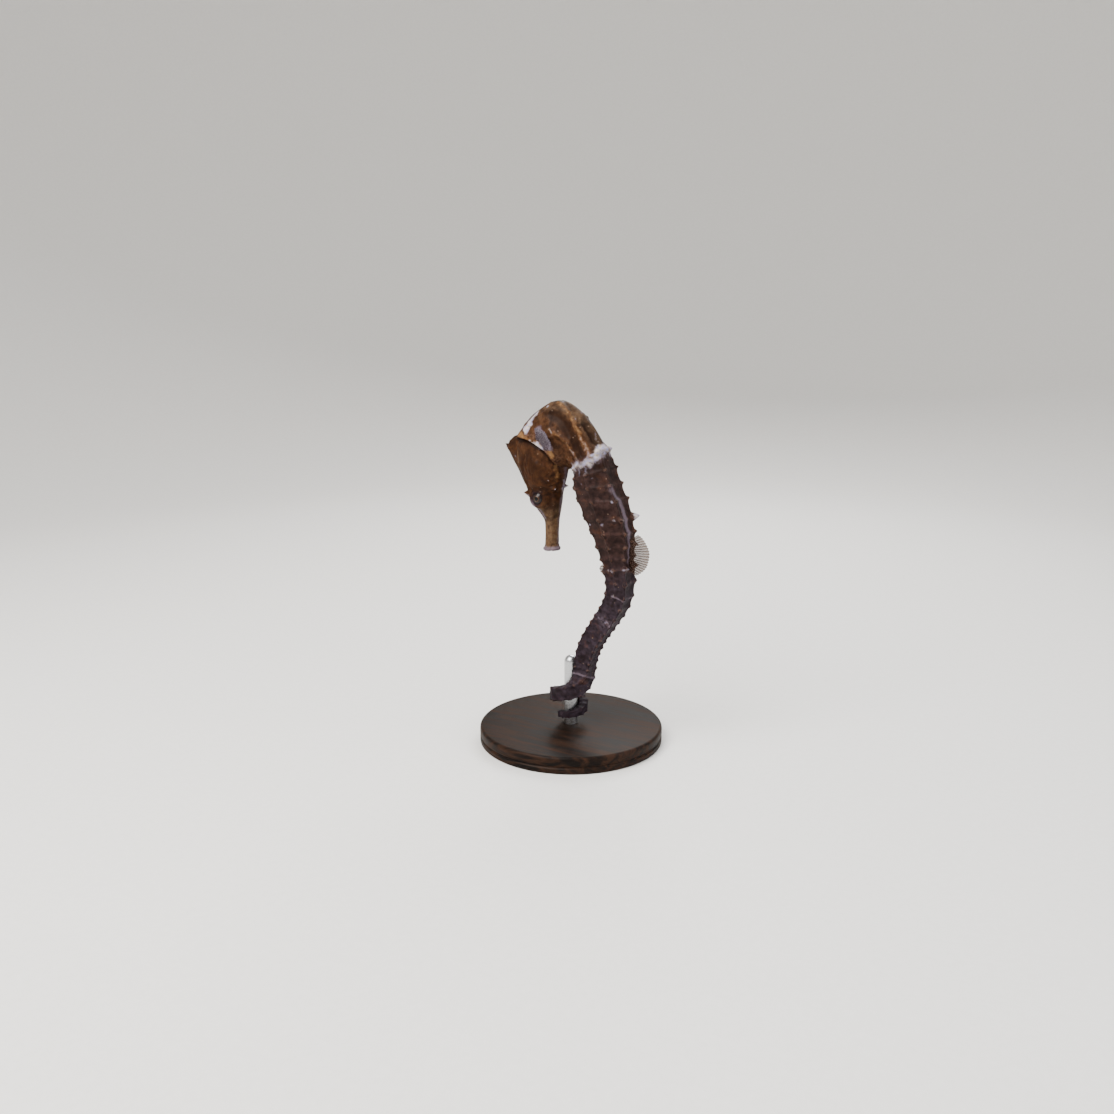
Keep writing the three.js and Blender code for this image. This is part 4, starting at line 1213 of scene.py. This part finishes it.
def make_fin(name, node, look, foot, out, across, reach, spread, rays, root, bow):
    """A fan of rays in the plane of out and across, from root to reach in mm from its foot. It spreads over
    an angle in degrees, and bow says how far it curves sideways."""
    deselect_all()
    bpy.ops.mesh.primitive_grid_add(x_subdivisions=rays * FACES_PER_RAY, y_subdivisions=FACES_ALONG, size=2)
    piece = bpy.context.object
    piece.name = name
    flat = positions(piece) * MM
    u, v = flat[:, 0], (flat[:, 1] + 1) / 2
    out, across = np.array(out, float), np.array(across, float)
    out = out / np.linalg.norm(out)
    across = across - (across @ out) * out
    across = across / np.linalg.norm(across)
    normal = np.cross(across, out)
    on_ray = 0.5 + 0.5 * np.cos((u + 1) / 2 * rays * 2 * math.pi)
    on_ray = on_ray**2
    edge = reach * (1 - 0.16 * u**2) * (0.985 + 0.015 * on_ray)
    angle = u * math.radians(spread / 2)
    far = root + (edge - root) * v
    ripple = bow * v**2 * reach * 0.12 + 0.16 * np.sin(u * 9) * v**2 + 0.1 * (on_ray - 0.5) * v
    places = np.array(foot, float) + far[:, None] * (
        np.cos(angle)[:, None] * out + np.sin(angle)[:, None] * across) + ripple[:, None] * normal
    set_positions(piece, places)
    write_attribute(piece, "ray", on_ray * (1 - 0.3 * v))
    write_attribute(piece, "reach", v)
    piece.modifiers.new("thick", "SOLIDIFY").thickness = WEB_THICKNESS * MM
    piece.modifiers["thick"].offset = 0
    bpy.ops.object.modifier_apply(modifier="thick")
    bpy.ops.object.shade_smooth()
    piece.data.materials.append(look)
    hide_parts(node)
    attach(piece, "root")


# %% Dorsal, anal and pectoral fins
brown_fin = fin_material("fin", (66, 46, 34), (38, 22, 15), (92, 72, 58))
lilac_fin = fin_material("pectoral_fin", (72, 62, 74), (48, 36, 38), (100, 92, 104))
UP = (0, 0, 1)
make_fin("dorsal_rays", "dorsal_fin", brown_fin, (11.6, 0, 58.4), (1, 0, -0.03), UP,
         reach=12.8, spread=66, rays=18, root=4, bow=0.5)
make_fin("anal_rays", "anal_fin", brown_fin, (16.5, 0, 53.8), (-0.98, 0, -0.1), UP,
         reach=7.4, spread=26, rays=4, root=2, bow=0.0)
PECTORAL_RING = 0.8
_, upward, _, _, _ = frames(np.array([PECTORAL_RING]))
heading = np.cross(upward[0], [0, -1, 0])
for name, side in [("left", -1.0), ("right", 1.0)]:
    out = unit((0.92 * heading + np.array([0, 0.4 * side, 0]))[None])[0]
    foot = spot(PECTORAL_RING, 4.0, -side) - 2.2 * out + np.array([0, 0.2 * side, 0])
    make_fin("pectoral_rays_" + name, "pectoral_fin_" + name, lilac_fin, foot, out, upward[0],
             reach=8.2, spread=70, rays=15, root=1.2, bow=0.6 * side)
print("fins made")

# %% [markdown]
# ## The stand
#
# A museum shows such an animal on a small turned base with a rod. The base is black-stained wood with a
# bead round its edge: grain is noise squashed along one axis. The rod is brushed steel with a rounded
# top, and its fine lines run round it, as they come off a lathe.

# %% Wood and steel
def wood_material():
    s = Sheet("black_wood", specular=0.05, coat=0.03, coat_roughness=0.3)
    place = s.place()
    squashed = s.node("ShaderNodeVectorMath", {"operation": "MULTIPLY"}, {0: place, 1: (0.1, 1.0, 1.0)})
    grain = s.noise(squashed, 0.45, 5.0, 0.6, 1.2)
    pores = s.noise(squashed, 5.0, 3.0, 0.6)
    colour = s.mix(s.step(grain, 0.38, 0.64), srgb(14, 9, 7), srgb(44, 28, 19))
    colour = s.mix(s.step(pores, 0.55, 0.7, 0.0, 0.5), colour, srgb(7, 5, 4))
    s.set(base_color=colour, roughness=s.step(grain, 0.3, 0.7, 0.45, 0.6))
    s.set(normal=s.bump(pores, 0.25, 0.00005))
    return s.material


def steel_material():
    s = Sheet("brushed_steel", metallic=1.0)
    place = s.place()
    squashed = s.node("ShaderNodeVectorMath", {"operation": "MULTIPLY"}, {0: place, 1: (1.0, 1.0, 12.0)})
    lines = s.noise(squashed, 1.2, 4.0, 0.7)
    s.set(base_color=s.mix(lines, srgb(150, 152, 155), srgb(205, 206, 208)))
    s.set(roughness=s.step(lines, 0.3, 0.7, 0.22, 0.4), normal=s.bump(lines, 0.04, 0.00001))
    return s.material


# %% [markdown]
# Turned pieces are made as on a lathe: one profile from the axis out to the rim and back, spun round
# once. A cylinder with bevels would do for the rod, but not for the base's bead. The spin leaves a seam,
# which is merged, and its faces may point inwards, so the normals are recalculated.

# %% Turn a piece on the lathe
BASE = {"radius": 27.0, "height": 5.0}


def turned(name, profile, steps):
    """Spins a profile of (radius, height) points in mm round the Z axis."""
    deselect_all()
    bpy.ops.mesh.primitive_plane_add(size=0.001)
    piece = bpy.context.object
    piece.name = name
    bpy.ops.object.mode_set(mode="EDIT")
    bpy.context.tool_settings.mesh_select_mode = (True, False, False)
    bpy.ops.mesh.select_all(action="SELECT")
    bpy.ops.mesh.merge(type="CENTER")
    bpy.ops.transform.translate(value=(profile[0][0] * MM, 0, profile[0][1] * MM))
    for (r0, z0), (r1, z1) in zip(profile[:-1], profile[1:]):
        move = ((r1 - r0) * MM, 0, (z1 - z0) * MM)
        bpy.ops.mesh.extrude_region_move(TRANSFORM_OT_translate={"value": move})
    bpy.ops.mesh.select_all(action="SELECT")
    bpy.ops.mesh.spin(steps=steps, angle=math.tau, center=(0, 0, 0), axis=(0, 0, 1))
    bpy.ops.mesh.select_all(action="SELECT")
    bpy.ops.mesh.remove_doubles(threshold=0.002 * MM)
    bpy.ops.mesh.normals_make_consistent(inside=False)
    leave_edit()
    bpy.ops.object.shade_smooth_by_angle(angle=math.radians(35))
    return piece


def arc(radius, height, size, start, end, steps=6):
    """Points on a circle of that size about (radius, height), from one angle to another in degrees."""
    turns = np.radians(np.linspace(start, end, steps + 1))
    return [(radius + size * math.cos(t), height + size * math.sin(t)) for t in turns]


# %% Spin the base
r, h = BASE["radius"], BASE["height"]
profile = [(0, 0), (r - 0.5, 0)] + arc(r - 0.5, 0.5, 0.5, -90, 0) + [(r, 1.5)]
profile += arc(r, 2.0, 0.35, -90, -270, 6)[1:-1] + [(r, 2.6)]
profile += arc(r - 0.9, h - 0.9, 0.9, 0, 90) + [(6, h), (0, h)]
stand = turned("turned_base", profile, 160)
stand.data.materials.append(wood_material())
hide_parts("stand_base")
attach(stand, "root")
print("base", len(stand.data.polygons), "faces")

# %% Spin the rod
r, z = ROD["radius"], ROD["top"] - ROD["radius"]
foot = ROD["foot"]
bar = turned("steel_rod", [(0, foot), (r, foot), (r, 8), (r, 16)] + arc(0, z, r, 0, 90, 8), 48)
bar.data.materials.append(steel_material())
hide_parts("stand_rod")
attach(bar, "root")
print("rod", len(bar.data.polygons), "faces")

# %% [markdown]
# ## The studio
#
# A sweep of pale paper is floor and backdrop in one, with no corner behind the model. It is a profile
# spun all the way round, so it closes the view in every direction.

# %% Floor and backdrop
def paper_material():
    s = Sheet("paper", roughness=0.75)
    fibre = s.noise(s.place(), 0.5, 5.0, 0.6)
    s.set(base_color=s.mix(fibre, srgb(222, 220, 216), srgb(232, 230, 227)))
    s.set(normal=s.bump(fibre, 0.05, 0.0002))
    return s.material


SWEEP = {"flat": 450, "curve": 500, "top": 1300}
profile = [(0, 0), (SWEEP["flat"], 0)] + arc(SWEEP["flat"], SWEEP["curve"], SWEEP["curve"], -90, 0, 24)[1:]
sweep = turned("sweep", profile + [(SWEEP["flat"] + SWEEP["curve"], SWEEP["top"])], 120)
bpy.ops.object.shade_smooth()
sweep.data.materials.append(paper_material())
print("the sweep has", len(sweep.data.polygons), "faces")

# %% [markdown]
# Three large lamps close to the model give soft shadows: a warm key from the front left, a cool fill from
# the right and a weaker one behind that draws the outline. Large lamps are dimmer for each square metre,
# so they don't leave hard glints on moist skin.

# %% Lights
def softbox(name, azimuth, elevation, distance, size, power, colour=(1, 1, 1)):
    target = Vector(VIEW["target"])
    way = direction(azimuth, elevation)
    turn = way.to_track_quat("Z", "Y").to_euler()
    bpy.ops.object.light_add(type="AREA", location=target + way * distance, rotation=turn)
    lamp = bpy.context.object
    lamp.name = name
    lamp.data.size = size
    lamp.data.energy = power
    lamp.data.color = colour


softbox("key", -15, 50, 0.5, 0.36, 6.5, (1.0, 0.98, 0.95))
softbox("fill", 90, 25, 0.5, 0.36, 1.8, (0.93, 0.96, 1.0))
softbox("back", 195, 40, 0.5, 0.3, 2.6)
world = bpy.data.worlds.new("studio")
world.use_nodes = True
SKY, SKY_STRENGTH = (0.86, 0.87, 0.9, 1), 0.42
world.node_tree.nodes["Background"].inputs["Color"].default_value = SKY
world.node_tree.nodes["Background"].inputs["Strength"].default_value = SKY_STRENGTH
bpy.context.scene.world = world
print("lamps: 3")
